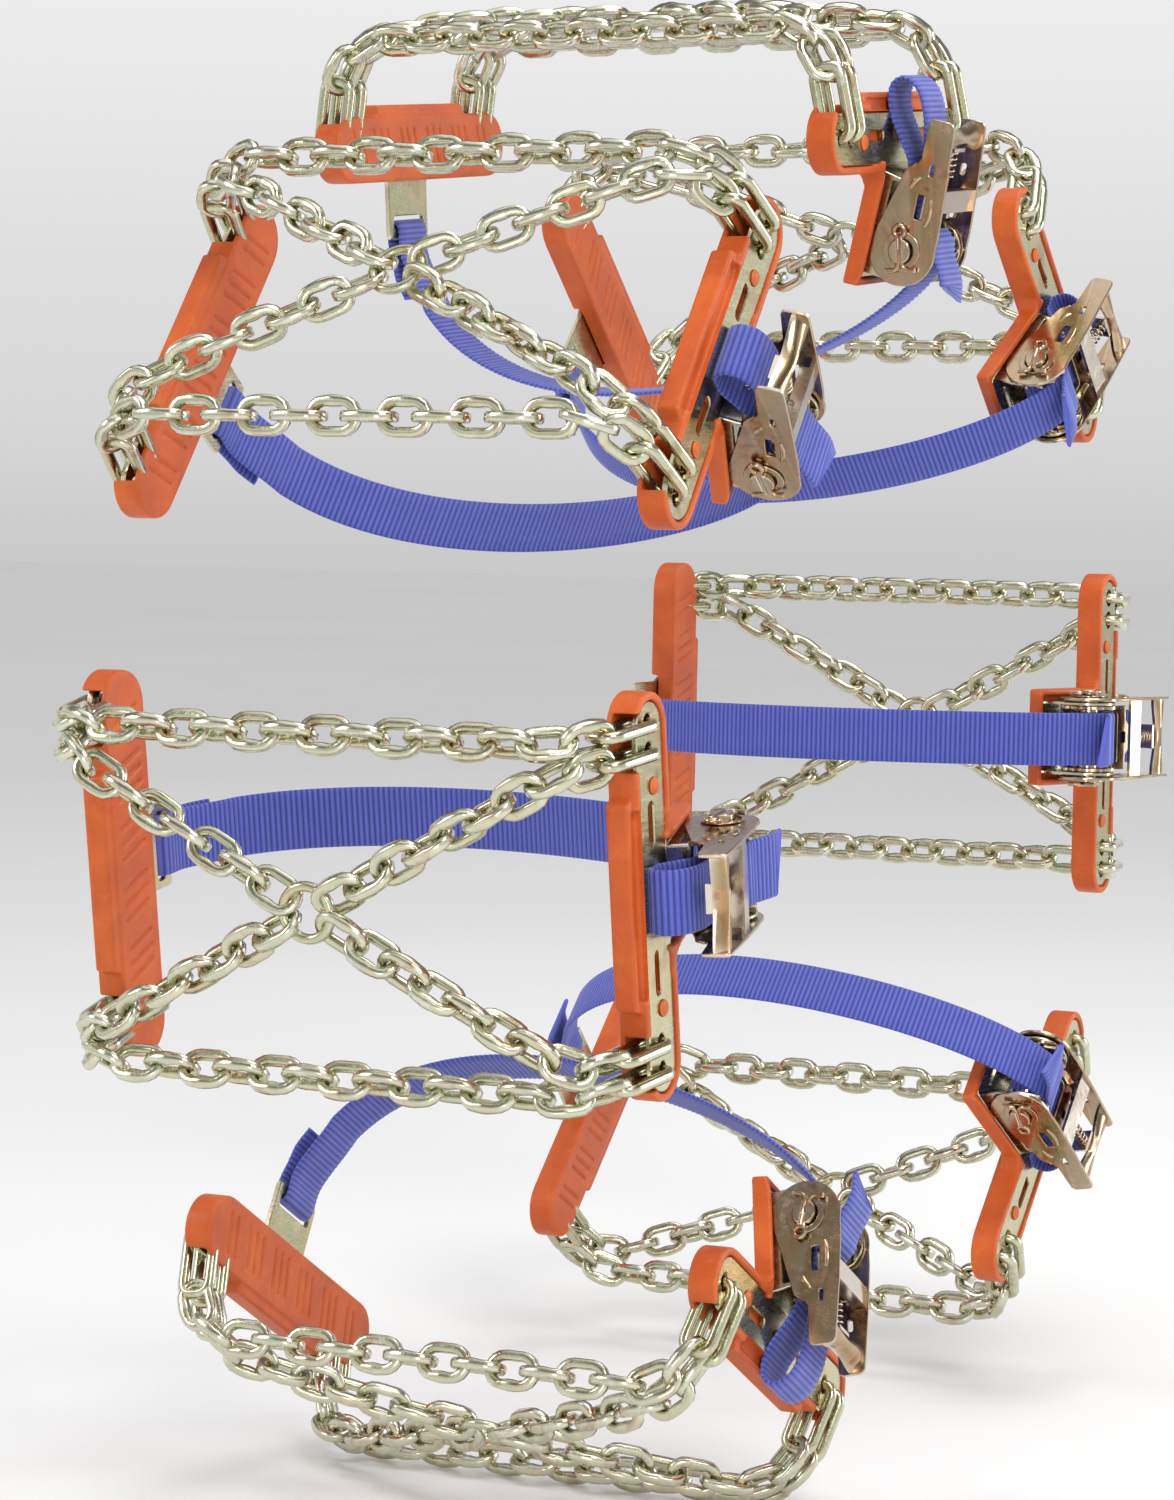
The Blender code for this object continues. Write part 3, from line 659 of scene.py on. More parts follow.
def link_mesh():
    path = []
    for end in (1, -1):
        for i in range(9):
            a = math.radians(-90 + 180 * i / 8)
            x = LINK_STRAIGHT + LINK_BEND * math.cos(a)
            path.append(Vector((end * x, end * LINK_BEND * math.sin(a), 0)))
    path.insert(9, Vector((0.0011, LINK_BEND, 0)))
    path.insert(10, Vector((-0.0011, LINK_BEND, 0)))
    mesh = sweep(path, chamfered_section(LINK_WIRE, LINK_CHAMFER), Vector((0, 0, 1)), closed=True)
    for vertex in mesh.vertices:
        if abs(vertex.co.x) < 0.002:
            vertex.co.y = LINK_BEND + (vertex.co.y - LINK_BEND) * WELD_SWELL
            vertex.co.z *= WELD_SWELL
    return mesh


LINK = link_mesh()
LINK_POINTS = [v.co.copy() for v in LINK.vertices]
LINK_FACES = [tuple(p.vertices) for p in LINK.polygons]


def lay_links(path, first_gap, last_gap, rolls):
    """Links along a path, each a quarter turn from the one before, with the given start roll in degrees."""
    length = path_length(path) - first_gap - last_gap
    count = max(1, math.ceil(length / LINK_PITCH))
    places = walk(path, [first_gap + length * i / count for i in range(count + 1)])
    points, faces = [], []
    for i, (middle, tangent) in enumerate(places):
        outward = Vector((middle.x, 0.0, middle.z)).normalized()
        outward = (outward - tangent * outward.dot(tangent)).normalized()
        across = tangent.cross(outward)
        roll = math.radians(rolls(i, count) + 90 * (i % 2))
        flat = across * math.cos(roll) + outward * math.sin(roll)
        normal = tangent.cross(flat)
        base = len(points)
        points += [middle + tangent * p.x + flat * p.y + normal * p.z for p in LINK_POINTS]
        faces += [tuple(base + k for k in face) for face in LINK_FACES]
    mesh = bpy.data.meshes.new("links")
    mesh.from_pydata(points, [], faces)
    return mesh


def make_chains(number):
    """The two cross chains and four diagonals of one unit, with rolls that differ from unit to unit."""
    draw = random.Random(70 + number)
    gap = LINK_INNER_HALF - HOOK_ROD
    runs = []
    for side_t in (1, -1):
        lean = draw.uniform(18, 52)
        drift = draw.uniform(-22, 22)
        runs.append(lay_links(cross_path(side_t * CROSS_CHAIN_T), gap, gap,
                              lambda i, n, a=lean, d=drift: a + d * math.sin(3.0 * i / n)))
        for side_y in (-1, 1):
            lean = draw.uniform(25, 60)
            runs.append(lay_links(diagonal_path(side_y, side_t), gap, 0.0,
                                  lambda i, n, a=lean: a + 12 * math.sin(2.0 * i)))
    return smooth(joined(runs), 50)


def make_ring():
    points = [Vector((CHAIN_RADIUS + 0.0006, RING_RADIUS * math.cos(a), RING_RADIUS * math.sin(a)))
              for a in (2 * math.pi * i / 40 for i in range(40))]
    return smooth(sweep(points, ring_section(0.0021, 12), Vector((1, 0, 0)), closed=True))


def make_hooks():
    """Eight closed long links, each through its hole in a plate."""
    runs = []
    outline = rounded([
        (0.0, -HOOK_HALF_WIDTH), (HOOK_LENGTH, -HOOK_HALF_WIDTH),
        (HOOK_LENGTH, HOOK_HALF_WIDTH), (0.0, HOOK_HALF_WIDTH),
    ], 0.0056, 7)
    for side in (-1, 1):
        along = Vector((math.cos(HOOK_TILT), -side * math.sin(HOOK_TILT), 0))
        across = Vector((math.sin(HOOK_TILT), side * math.cos(HOOK_TILT), 0))
        middle = Vector((HOLE_X, side * (PLATE_FACE_Y - PLATE_THICKNESS / 2), 0))
        for t in (CROSS_CHAIN_T, DIAGONAL_T, -DIAGONAL_T, -CROSS_CHAIN_T):
            points = [middle + along * a + across * b + Vector((0, 0, t)) for a, b in outline]
            runs.append(sweep(points, ring_section(HOOK_ROD, 12), Vector((0, 0, 1)), closed=True))
    return smooth(joined(runs), 60)


# ---------------------------------------------------------------- plates
def bar_outline(grow=0.0, steps=14):
    half = BAR_HALF_HEIGHT + grow
    reach = BAR_HALF_LENGTH + grow - half
    return arc((BAR_CENTRE_X, reach), half, 0, 180, steps) + arc((BAR_CENTRE_X, -reach), half, 180, 360, steps)


def hook_holes():
    return [circle((HOLE_X, t), HOLE_RADIUS, 20) for t in (CROSS_CHAIN_T, DIAGONAL_T, -DIAGONAL_T, -CROSS_CHAIN_T)]


BUTTON_T = 0.0435
BUTTON_X = HOLE_X - 0.0020
BUTTON_RADIUS = 0.0029
SLOT_HALF_WIDTH = 0.0023
SIDE_SLOT_MIDDLE = 0.029


def bar_holes():
    holes = hook_holes()
    holes += [circle((BUTTON_X, t), BUTTON_RADIUS + 0.0002, 18) for t in (BUTTON_T, -BUTTON_T)]
    holes += [slot((HOLE_X + 0.0006, t), half, SLOT_HALF_WIDTH)
              for t, half in ((0.0, 0.0095), (SIDE_SLOT_MIDDLE, 0.0088), (-SIDE_SLOT_MIDDLE, 0.0088))]
    return holes


FLARE = ((-0.0030, 0.0300), (0.0, 0.0236), (0.0012, 0.0212), (0.0034, 0.0192), (0.0070, 0.0182), (0.0110, 0.0180))


def stem_plate():
    """The outer plate's bent tongue, flared where it meets the bar."""
    side = [(a, t) for a, t in FLARE if a >= 0] + [(STEM_LENGTH - 0.0015, 0.0180), (STEM_LENGTH, 0.0165)]
    outline = side + [(a, -t) for a, t in side[::-1]]
    mesh = sheet([outline], PLATE_THICKNESS, 0.0004)
    along, above = stem_point(1, 0) - stem_point(0, 0), stem_point(0, 1) - stem_point(0, 0)
    place = Matrix.Identity(4)
    for row in range(3):
        place[row][0], place[row][1], place[row][2] = along[row], (0, 0, 1)[row], above[row]
        place[row][3] = stem_point(0, -PLATE_THICKNESS / 2)[row]
    mesh.transform(place)
    return cleaned(mesh)


BASE_CHEEK_T = (0.0163, 0.0178)
BASE_CHEEK_RADIUS = 0.0128


def base_cheek():
    outline = [stem_point(0.0470, -0.001), stem_point(0.0478, 0.010)]
    outline = [(p.x, p.y) for p in outline]
    outline += arc(SPOOL, BASE_CHEEK_RADIUS, 165, 305, 16)
    rest = [(0.0185, 0.0122), (0.0150, 0.0104), (0.0080, 0.0100), (0.0045, 0.0080), (0.0030, -0.001)]
    outline += [(p.x, p.y) for p in (stem_point(a, n) for a, n in rest)]
    hole = circle(SPOOL, 0.0060, 24)
    pawl_slot = [(p.x, p.y) for p in (
        stem_point(a, n) for a, n in ((0.0062, 0.0046), (0.0205, 0.0046), (0.0205, 0.0078), (0.0062, 0.0078))
    )]
    return sheet_xy([outline, hole, rounded(pawl_slot, 0.0008, 2)], *BASE_CHEEK_T, 0.0003)


def make_outer_plate():
    back_y = -(PLATE_FACE_Y - PLATE_THICKNESS)
    bar = sheet_xz([bar_outline(), *bar_holes()], -PLATE_FACE_Y, back_y, 0.0005)
    cheek = base_cheek()
    middle = stem_point(0.0425, 0.0001)
    stiffener = capsule(middle - Vector((0, 0, 0.0065)), middle + Vector((0, 0, 0.0065)), 0.0011, Vector((0, 1, 0)))
    return smooth(joined([bar, stem_plate(), cheek, mirrored(cheek), stiffener]), 34)


def make_inner_plate():
    low_y, high_y = PLATE_FACE_Y - PLATE_THICKNESS, PLATE_FACE_Y
    bar = sheet_xz([bar_outline(), *bar_holes()], low_y, high_y, 0.0005)
    end_x = BAR_INNER_X - INNER_STEM_LENGTH
    flare = [(BAR_INNER_X + 0.003 - a, t) for a, t in ((0, 0.0215), (0.0032, 0.0200), (0.0075, 0.0182))]
    stem = flare + [(end_x, 0.0180)]
    stem = stem + [(x, -t) for x, t in stem[::-1]]
    half = STRAP_HALF_WIDTH + 0.0014
    window = rounded([(end_x + 0.0050, -half), (end_x + 0.0105, -half),
                      (end_x + 0.0105, half), (end_x + 0.0050, half)], 0.0020, 3)
    tongue = sheet_xz([rounded(stem, 0.0022, 3), window], low_y + 0.00004, high_y - 0.00004, 0.0005)
    return smooth(joined([bar, tongue]), 34)


# ---------------------------------------------------------------- rubber pads
GAP = 0.0004
RIM = 0.0036
PAD_DEPTH = 0.0085
BLOCK_HALF_LENGTH = 0.040
BLOCK_STEP = 0.0048
TRAY_HALF_WIDTH = 0.0236
TRAY_WALL = 0.0030
TRAY_FLOOR = 0.0027
NOTCH_T = (0.0515, 0.0735)
PAD_VOXEL = 0.00062


def moulded(mesh, turns=6):
    """Sharp unions turned into one soft-edged moulding."""
    obj = temporary(mesh)
    remesh = obj.modifiers.new("remesh", "REMESH")
    remesh.mode, remesh.voxel_size, remesh.adaptivity = "VOXEL", PAD_VOXEL, 0.0
    soften = obj.modifiers.new("soften", "SMOOTH")
    soften.factor, soften.iterations = 0.5, turns
    thin = obj.modifiers.new("thin", "DECIMATE")
    thin.ratio = 0.40
    result = baked(obj)
    return smooth(result, 75)


def pad_bar():
    """The bar's part of a pad, on the outboard side: a tray with a raised lip on its tread side."""
    back_y = -(PLATE_FACE_Y - PLATE_THICKNESS - GAP)
    tyre_y = back_y + PAD_DEPTH
    front_y = -(PLATE_FACE_Y + 0.0012)
    body = sheet_xz([bar_outline(RIM)], front_y, tyre_y, 0.0006)
    edge_x = BAR_CENTRE_X + BAR_HALF_HEIGHT
    outer_x = edge_x + RIM + BLOCK_STEP
    slope = 0.0035
    block = sheet_xz([[
        (edge_x - 0.004, -BLOCK_HALF_LENGTH - slope), (edge_x + RIM * 0.4, -BLOCK_HALF_LENGTH - slope),
        (outer_x, -BLOCK_HALF_LENGTH), (outer_x, BLOCK_HALF_LENGTH),
        (edge_x + RIM * 0.4, BLOCK_HALF_LENGTH + slope), (edge_x - 0.004, BLOCK_HALF_LENGTH + slope),
    ]], -(PLATE_FACE_Y - 0.0010), tyre_y - 0.0008, 0.0006)
    channel = sheet_xz([rounded([
        (edge_x + GAP + 0.0002, -BLOCK_HALF_LENGTH + 0.0030), (outer_x - 0.0024, -BLOCK_HALF_LENGTH + 0.0030),
        (outer_x - 0.0024, BLOCK_HALF_LENGTH - 0.0030), (edge_x + GAP + 0.0002, BLOCK_HALF_LENGTH - 0.0030),
    ], 0.002, 3)], front_y - 0.001, back_y - 0.0006, 0.0003)
    pocket = sheet_xz([bar_outline(GAP)], front_y - 0.002, back_y, 0.0002)
    low_t, high_t = NOTCH_T
    cuts = [pocket, channel]
    for sign in (1, -1):
        low, high = sorted((sign * low_t, sign * high_t))
        notch = [(HOLE_X - 0.0058, low), (BAR_CENTRE_X + 0.030, low),
                 (BAR_CENTRE_X + 0.030, high), (HOLE_X - 0.0058, high)]
        cuts.append(sheet_xz([rounded(notch, 0.0025, 4)], front_y - 0.002, tyre_y - 0.0022, 0.0002))
    return combine(combine(body, [block]), cuts, "DIFFERENCE")


GRIP_PITCH = 0.0062
GRIP_DEPTH = 0.0009


def grip_grooves(side):
    """Shallow slanted grooves in the face that lies on the tyre; side is -1 outboard and +1 inboard."""
    face_y = PLATE_FACE_Y - PLATE_THICKNESS - GAP - PAD_DEPTH
    low, high = sorted((side * (face_y - 0.001), side * (face_y + GRIP_DEPTH)))
    grooves = []
    count = 10
    for i in range(-count, count + 1):
        if i % 4:
            grooves.append(sheet_xz([slot((BAR_CENTRE_X, i * GRIP_PITCH), 0.0098, 0.0009, 18.0, 3)], low, high, 0.0001))
    return joined(grooves)


def make_outer_pad():
    """Bar part and the tilted tray behind the plate's tongue."""
    back_y = -(PLATE_FACE_Y - PLATE_THICKNESS - GAP)
    floor = -(PLATE_THICKNESS + GAP)
    deep = floor - TRAY_FLOOR
    end = STEM_LENGTH + GAP
    clear = 0.0222

    def flat(points):
        return [(p.x, p.y) for p in points]

    mouth = sheet_xy([[
        (BAR_INNER_X + 0.0012, -PLATE_FACE_Y - 0.003), (BAR_INNER_X - 0.0085, -PLATE_FACE_Y - 0.003),
        *flat([stem_point(0.0090, floor), stem_point(0.0, floor)]), (BAR_INNER_X + 0.0012, back_y),
    ]], -clear, clear, 0.0002)
    opened = combine(pad_bar(), [mouth], "DIFFERENCE")
    tray = sheet_xy([[
        (BAR_INNER_X + 0.001, back_y + 0.0003),
        *flat([stem_point(0.003, floor), stem_point(end + TRAY_WALL, floor),
               stem_point(end + TRAY_WALL, deep), stem_point(0.002, deep)]),
        (BAR_INNER_X + 0.001, back_y + TRAY_FLOOR),
    ]], -TRAY_HALF_WIDTH, TRAY_HALF_WIDTH, 0.0006)
    wall_outline = flat([
        stem_point(-0.0012, floor - 0.002), stem_point(end + TRAY_WALL - 0.002, floor - 0.002),
        stem_point(end + TRAY_WALL, floor), stem_point(end + TRAY_WALL - 0.0008, 0.0008),
        stem_point(end - 0.002, 0.0021), stem_point(end - 0.008, 0.0025),
        stem_point(0.0070, 0.0025), stem_point(-0.0012, 0.0013),
    ])
    wall = sheet_xy([wall_outline], TRAY_HALF_WIDTH - TRAY_WALL, TRAY_HALF_WIDTH, 0.0006)
    fillet = sheet_xz([[
        (BAR_INNER_X + 0.0004, TRAY_HALF_WIDTH - 0.0020), (BAR_INNER_X - 0.0095, TRAY_HALF_WIDTH - 0.0010),
        (BAR_INNER_X - 0.0062, TRAY_HALF_WIDTH + 0.0008), (BAR_INNER_X - 0.0042, TRAY_HALF_WIDTH + 0.0034),
        (BAR_INNER_X - 0.0032, TRAY_HALF_WIDTH + 0.0072), (BAR_INNER_X + 0.0004, TRAY_HALF_WIDTH + 0.0090),
    ]], -(PLATE_FACE_Y + 0.0008), back_y + 0.006, 0.0004)
    lip = sheet_xy([flat([
        stem_point(end, floor - 0.002), stem_point(end + TRAY_WALL, floor - 0.002),
        stem_point(end + TRAY_WALL, 0.0012), stem_point(end, 0.0012),
    ])], -TRAY_HALF_WIDTH + 0.0015, TRAY_HALF_WIDTH - 0.0015, 0.0004)
    whole = combine(opened, [tray, wall, mirrored(wall), fillet, mirrored(fillet), lip])
    return moulded(combine(whole, [grip_grooves(-1)], "DIFFERENCE"))


def make_inner_pad():
    pad = mirrored(pad_bar(), (0, 1, 0))
    low_y = PLATE_FACE_Y - PLATE_THICKNESS - GAP
    mouth = sheet_xz([[
        (BAR_INNER_X - 0.006, -0.0212), (BAR_INNER_X + 0.001, -0.0212),
        (BAR_INNER_X + 0.001, 0.0212), (BAR_INNER_X - 0.006, 0.0212),
    ]], low_y, PLATE_FACE_Y + 0.004, 0.0002)
    return moulded(combine(combine(pad, [mouth], "DIFFERENCE"), [grip_grooves(1)], "DIFFERENCE"))


def make_buttons():
    """Domed ends of the pads' moulded pins, standing through the plates."""
    pins = []
    for side in (-1, 1):
        outward = Vector((0, side, 0))
        for t in (BUTTON_T, -BUTTON_T):
            base = Vector((BUTTON_X, side * (PLATE_FACE_Y - PLATE_THICKNESS - 0.001), t))
            rises = [(0.0, 1.0), (0.0034, 1.0), (0.0036, 1.14), (0.0041, 1.18), (0.0047, 1.02), (0.0051, 0.7), (0.0053, 0.25)]
            pins.append(tapered([base + outward * h for h, _ in rises],
                                [BUTTON_RADIUS * 0.97 * w for _, w in rises], Vector((1, 0, 0)), 20))
    return smooth(joined(pins), 40)


# ---------------------------------------------------------------- ratchet
HANDLE_CHEEK_T = (0.0185, 0.0200)
HANDLE_END_RADIUS = 0.0150


def handle_cheek():
    points = [(HANDLE_END_RADIUS * math.cos(math.radians(a)), HANDLE_END_RADIUS * math.sin(math.radians(a)))
              for a in range(78, 291, 9)]
    end = HANDLE_LENGTH
    points += rounded([(0.0225, -0.0095), (0.0290, -0.0074), (0.0345, -0.0062), (0.0385, -0.0012)], 0.002, 3)[4:]
    points += [(0.0400, 0.0), (end - 0.0022, 0.0), (end - 0.0007, 0.0007), (end, 0.0022)]
    points += [(end, 0.0090), (end - 0.0006, 0.0107), (end - 0.0022, 0.0116), (0.0300, 0.0137), (0.0100, 0.0148)]
    outline = [(p.x, p.y) for p in (handle_point(a, b) for a, b in points)]
    hole = circle(SPOOL, 0.0060, 24)
    oblong = [(p.x, p.y) for p in (
        handle_point(a, b) for a, b in ((0.0335, 0.0046), (0.0385, 0.0046), (0.0385, 0.0068), (0.0335, 0.0068))
    )]
    pawl_slot = [(p.x, p.y) for p in (
        handle_point(a, b) for a, b in ((0.0145, 0.0018), (0.0250, 0.0018), (0.0250, 0.0056), (0.0145, 0.0056))
    )]
    return sheet_xy([outline, hole, rounded(oblong, 0.0010, 3), rounded(pawl_slot, 0.0008, 2)], *HANDLE_CHEEK_T, 0.0003)


def embossed_beads():
    """Pressed crescents on the outer faces of the handle's cheeks."""
    beads = []
    face = HANDLE_CHEEK_T[1] - 0.0003
    runs = (
        [(0.0125, 0.0078), (0.0160, 0.0088), (0.0200, 0.0090), (0.0240, 0.0082)],
        [(0.0270, -0.0020), (0.0300, -0.0008), (0.0325, 0.0014)],
    )
    for run in runs:
        path = rounded_path([handle_point(a, b, face) for a, b in run], 5)
        radii = [0.0013 * math.sin(math.pi * (0.08 + 0.84 * i / (len(path) - 1))) ** 0.5 for i in range(len(path))]
        beads.append(tapered(path, radii, Vector((0, 0, 1)), 12))
    return beads


def grip_plate():
    """The handle's thumb plate, waisted in plan with wavy edges, and rolled at its outer edge."""
    half = HANDLE_CHEEK_T[0] + 0.0004
    steps = 28
    outer, inner = [], []
    for i in range(steps + 1):
        t = -half + 2 * half * i / steps
        wave = math.cos(math.pi * t / half)
        outer.append((HANDLE_LENGTH - 0.0008 - 0.0016 * (1 + wave), t))
        inner.append((HANDLE_LENGTH - 0.0125 + 0.0014 * (1 + wave), t))
    work = bmesh.new()
    section = ((0.0, 0.0), (0.15, 0.0013), (0.4, 0.0018), (0.65, 0.0012), (0.85, -0.0004), (1.0, -0.0030))
    rows = []
    for (out_along, t), (in_along, _) in zip(outer, inner):
        rows.append([handle_point(in_along + (out_along - in_along) * s, 0.0092 + h, t) for s, h in section])
    for shift in (0.0, -0.0015):
        normal = handle_point(0, shift) - handle_point(0, 0)
        grid = [[work.verts.new(p + normal) for p in row] for row in rows]
        for a, b in zip(grid, grid[1:]):
            for k in range(len(section) - 1):
                work.faces.new((a[k], a[k + 1], b[k + 1], b[k]))
        if shift == 0.0:
            top = grid
        else:
            count = len(section)
            for a, b, c, d in ((top[i], top[i + 1], grid[i], grid[i + 1]) for i in range(steps)):
                work.faces.new((a[0], b[0], d[0], c[0]))
                work.faces.new((a[count - 1], c[count - 1], d[count - 1], b[count - 1]))
            for a, c in ((top[0], grid[0]), (top[-1], grid[-1])):
                for k in range(count - 1):
                    work.faces.new((a[k], c[k], c[k + 1], a[k + 1]))
    bmesh.ops.recalc_face_normals(work, faces=work.faces)
    mesh = bpy.data.meshes.new("grip")
    work.to_mesh(mesh)
    work.free()
    return mesh


def handle_block(low_along, high_along, low_out, high_out, half, bevel=0.0003):
    corners = [handle_point(a, b) for a, b in
               ((low_along, low_out), (high_along, low_out), (high_along, high_out), (low_along, high_out))]
    return sheet_xy([[(p.x, p.y) for p in corners]], -half, half, bevel)


def make_handle():
    cheek = handle_cheek()
    web = handle_block(0.0190, 0.0282, 0.0110, 0.0126, HANDLE_CHEEK_T[0] + 0.0004)
    web_lip = handle_block(0.0268, 0.0283, 0.0072, 0.0120, 0.0160)
    tab = handle_block(HANDLE_LENGTH - 0.0130, HANDLE_LENGTH - 0.0114, 0.0008, 0.0092, 0.0060)
    peg = capsule(handle_point(0.0400, 0.0055, 0), handle_point(HANDLE_LENGTH - 0.0130, 0.0055, 0), 0.0011, Vector((0, 0, 1)))
    parts = [cheek, mirrored(cheek), web, web_lip, tab, peg, grip_plate()]
    for bead in embossed_beads():
        parts += [bead, mirrored(bead)]
    return smooth(joined(parts), 36)


TEETH = 11
WHEEL_T = (0.0142, 0.0160)


def tooth_wheel():
    star = []
    for i in range(TEETH):
        base = 2 * math.pi * i / TEETH
        for share, radius in ((0.0, 0.0128), (0.14, 0.0129), (0.22, 0.0104), (0.55, 0.0107), (0.85, 0.0119)):
            angle = base + share * 2 * math.pi / TEETH
            star.append((SPOOL.x + radius * math.cos(angle), SPOOL.y + radius * math.sin(angle)))
    return sheet_xy([star], *WHEEL_T, 0.00025)


def half_bar(sign):
    """One of the two half-round bars that the webbing runs between."""
    points = []
    for i in range(13):
        a = math.pi * i / 12
        points.append((SPOOL.x + 0.0050 * math.cos(a), SPOOL.y + sign * (0.0009 + 0.0040 * math.sin(a))))
    return sheet_xy([points], -0.0236, 0.0236, 0.0004)


def split_pin():
    """A split pin through the spool's end: an eye on one side and two bent legs on the other."""
    t = 0.0222
    wire = ring_section(0.00115, 10)
    eye = [Vector((SPOOL.x + 0.0062 + 0.0024 * (1 + math.cos(a)), SPOOL.y + 0.0023 * math.sin(a), t + 0.0002))
           for a in (2 * math.pi * i / 20 for i in range(20))]
    parts = [sweep(eye, wire, Vector((0, 0, 1)), closed=True)]
    for sign in (1, -1):
        run = [Vector((SPOOL.x + x, SPOOL.y + sign * y, t)) for x, y in
               ((0.0066, 0.0008), (0.0, 0.0008), (-0.0058, 0.0010), (-0.0079, 0.0030), (-0.0082, 0.0068))]
        parts.append(sweep(rounded_path(run, 6), wire, Vector((0, 0, 1))))
    return joined(parts)


def make_spool():
    wheel = tooth_wheel()
    pin = split_pin()
    washer = sheet_xy([circle(SPOOL, 0.0084, 28), circle(SPOOL, 0.0056, 20)], 0.0203, 0.0210, 0.0002)
    bars = [half_bar(1), half_bar(-1)]
    core = sheet_xy([circle(SPOOL, 0.0030, 14)], -0.0230, 0.0230, 0.0003)
    return smooth(joined([*bars, core, wheel, mirrored(wheel), pin, mirrored(pin), washer, mirrored(washer)]), 36)


DRIVE_PAWL = (0.0140, 0.0330, 0.0030, 0.0050)
LOCK_PAWL = (0.0100, 0.0243, 0.0052, 0.0072)
PAWL_HALF = 0.0157


def pawl_outline(low, high, turned):
    """A pawl's plan: two prongs to the toothed wheels, a full-width waist and a tail for its spring."""
    side = [(0.0, PAWL_HALF), (0.32, PAWL_HALF), (0.62, PAWL_HALF), (0.66, 0.0085), (0.80, 0.0062), (1.0, 0.0055)]
    prong = [(0.0, 0.0132), (0.20, 0.0128), (0.26, 0.0110)]
    shape = prong[::-1] + side
    shape = shape + [(s, -t) for s, t in shape[::-1]]
    if turned:
        return [(high - (high - low) * s, t) for s, t in shape]
    return [(low + (high - low) * s, t) for s, t in shape]


def pawl(point, low, high, low_out, high_out, turned):
    outline = pawl_outline(low, high, turned)
    middle = (low + high) / 2 + (-0.0004 if turned else 0.0004)
    hole = [(middle - 0.0022, -0.0026), (middle + 0.0022, -0.0026), (middle + 0.0022, 0.0026), (middle - 0.0022, 0.0026)]
    mesh = sheet([outline, rounded(hole, 0.0006, 2)], high_out - low_out, 0.0003)
    along, out = point(1, 0) - point(0, 0), point(0, 1) - point(0, 0)
    place = Matrix.Identity(4)
    origin = point(0, (low_out + high_out) / 2)
    for row in range(3):
        place[row][0], place[row][1], place[row][2] = along[row], (0, 0, 1)[row], out[row]
        place[row][3] = origin[row]
    mesh.transform(place)
    return smooth(cleaned(mesh), 36)


def make_drive_pawl():
    return pawl(handle_point, *DRIVE_PAWL, False)


def make_lock_pawl():
    return pawl(stem_point, *LOCK_PAWL, True)


def coil(start, end, turns, radius, wire):
    """A compression spring between two points, with closed end turns."""
    along = end - start
    side = Vector((-along.y, along.x, 0)).normalized()
    up = Vector((0, 0, 1))
    sides = 14
    total = turns * sides
    points, normals = [], []
    for i in range(total + 1):
        s = i / total
        eased = min(max((s - 0.5 / turns) / (1 - 1.0 / turns), 0.0), 1.0) * 0.92 + 0.04
        angle = 2 * math.pi * i / sides
        radial = side * math.cos(angle) + up * math.sin(angle)
        points.append(start + along * eased + radial * radius)
        normals.append(radial)
    return smooth(sweep(points, ring_section(wire, 8), normals), 60)


DRIVE_SPRING = (handle_point(0.0331, 0.0055), handle_point(HANDLE_LENGTH - 0.0132, 0.0055))
LOCK_SPRING = (stem_point(0.0099, 0.0062), stem_point(-0.0012, 0.0062))


# ---------------------------------------------------------------- webbing
RIB_STEPS = 5
RIB_HEIGHT = 0.00022
EDGE_ROUND = 0.00055


